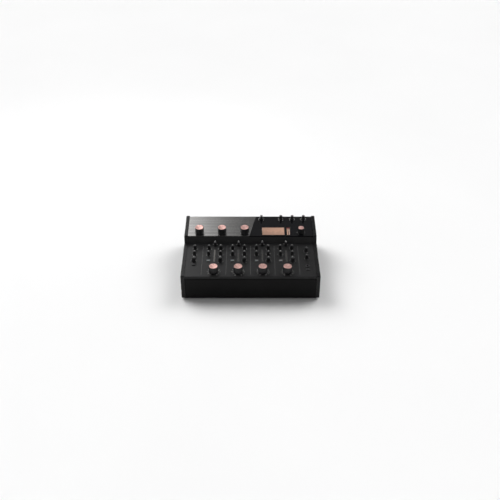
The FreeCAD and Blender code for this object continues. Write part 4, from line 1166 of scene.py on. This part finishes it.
class MIXER_OT_stage(bpy.types.Operator):
    """Lay the floor, set the lights and aim the camera"""
    bl_idname = "mixer.stage"
    bl_label = "Stage"

    def execute(self, context):
        scene = context.scene
        half = FLOOR_HALF
        corners = np.array([[-half, -half, 0], [half, -half, 0], [half, half, 0], [-half, half, 0]])
        floor = new_object("floor", (corners, [[0, 1, 2, 3]]), floor_paper())

        world = bpy.data.worlds.new("studio")
        world.use_nodes = True
        tree = world.node_tree
        tree.nodes.clear()
        way = node(tree, "TexCoord").outputs["Generated"]
        height = node(tree, "SeparateXYZ", {0: way}).outputs[2]
        glow = spread(tree, height, *SKY_BAND, *SKY_GLOW)
        for towards, strength in SKY_PATCHES:
            facing = node(tree, "VectorMath", {0: way, 1: towards}, operation="DOT_PRODUCT")
            patch = spread(tree, facing.outputs["Value"], *PATCH_EDGE, 0.0, strength)
            glow = math_node(tree, "ADD", glow, patch)
        background = node(tree, "Background", {1: glow})
        node(tree, "OutputWorld", {0: background.outputs[0]})
        scene.world = world

        softbox("back_box", (-0.425, 1.0, 0.85), (-0.425, 0.05, 0.1), (0.85, 0.5), 1.8)

        camera = bpy.data.cameras.new("camera")
        camera.sensor_width = SENSOR
        camera.lens = FOCAL_LENGTH
        holder = bpy.data.objects.new("camera", camera)
        holder.location = (CAMERA_SIDE, FRONT - CAMERA_BACK, CAMERA_HEIGHT)
        holder.rotation_euler = (CAMERA_TILT, 0, 0)
        scene.collection.objects.link(holder)
        scene.camera = holder
        scene.view_settings.view_transform = "Standard"
        return {"FINISHED"}


STEPS = (
    MIXER_OT_case, MIXER_OT_large_knobs, MIXER_OT_pointers, MIXER_OT_deck_print, MIXER_OT_bridge_print,
    MIXER_OT_display, MIXER_OT_channel_meters, MIXER_OT_screws, MIXER_OT_sockets, MIXER_OT_stage,
)


class MIXER_PT_steps(bpy.types.Panel):
    """The steps that dress the mixer, in order"""
    bl_idname = "MIXER_PT_steps"
    bl_label = "Rotary DJ mixer"
    bl_space_type = "VIEW_3D"
    bl_region_type = "UI"
    bl_category = "Mixer"

    def draw(self, context):
        for step in STEPS:
            self.layout.operator(step.bl_idname)


GROUPS = {"mixer_knobs": MixerKnobs, "mixer_print": MixerPrint, "mixer_colours": MixerColours}


def register():
    for cls in (*GROUPS.values(), *STEPS, MIXER_PT_steps):
        bpy.utils.register_class(cls)
    for name, cls in GROUPS.items():
        setattr(bpy.types.Scene, name, PointerProperty(type=cls))


def unregister():
    for name in GROUPS:
        delattr(bpy.types.Scene, name)
    for cls in (MIXER_PT_steps, *reversed(STEPS), *GROUPS.values()):
        bpy.utils.unregister_class(cls)


def main():
    register()
    for step in STEPS:
        area, name = step.bl_idname.split(".")
        getattr(getattr(bpy.ops, area), name)()


if __name__ == "__main__":
    main()
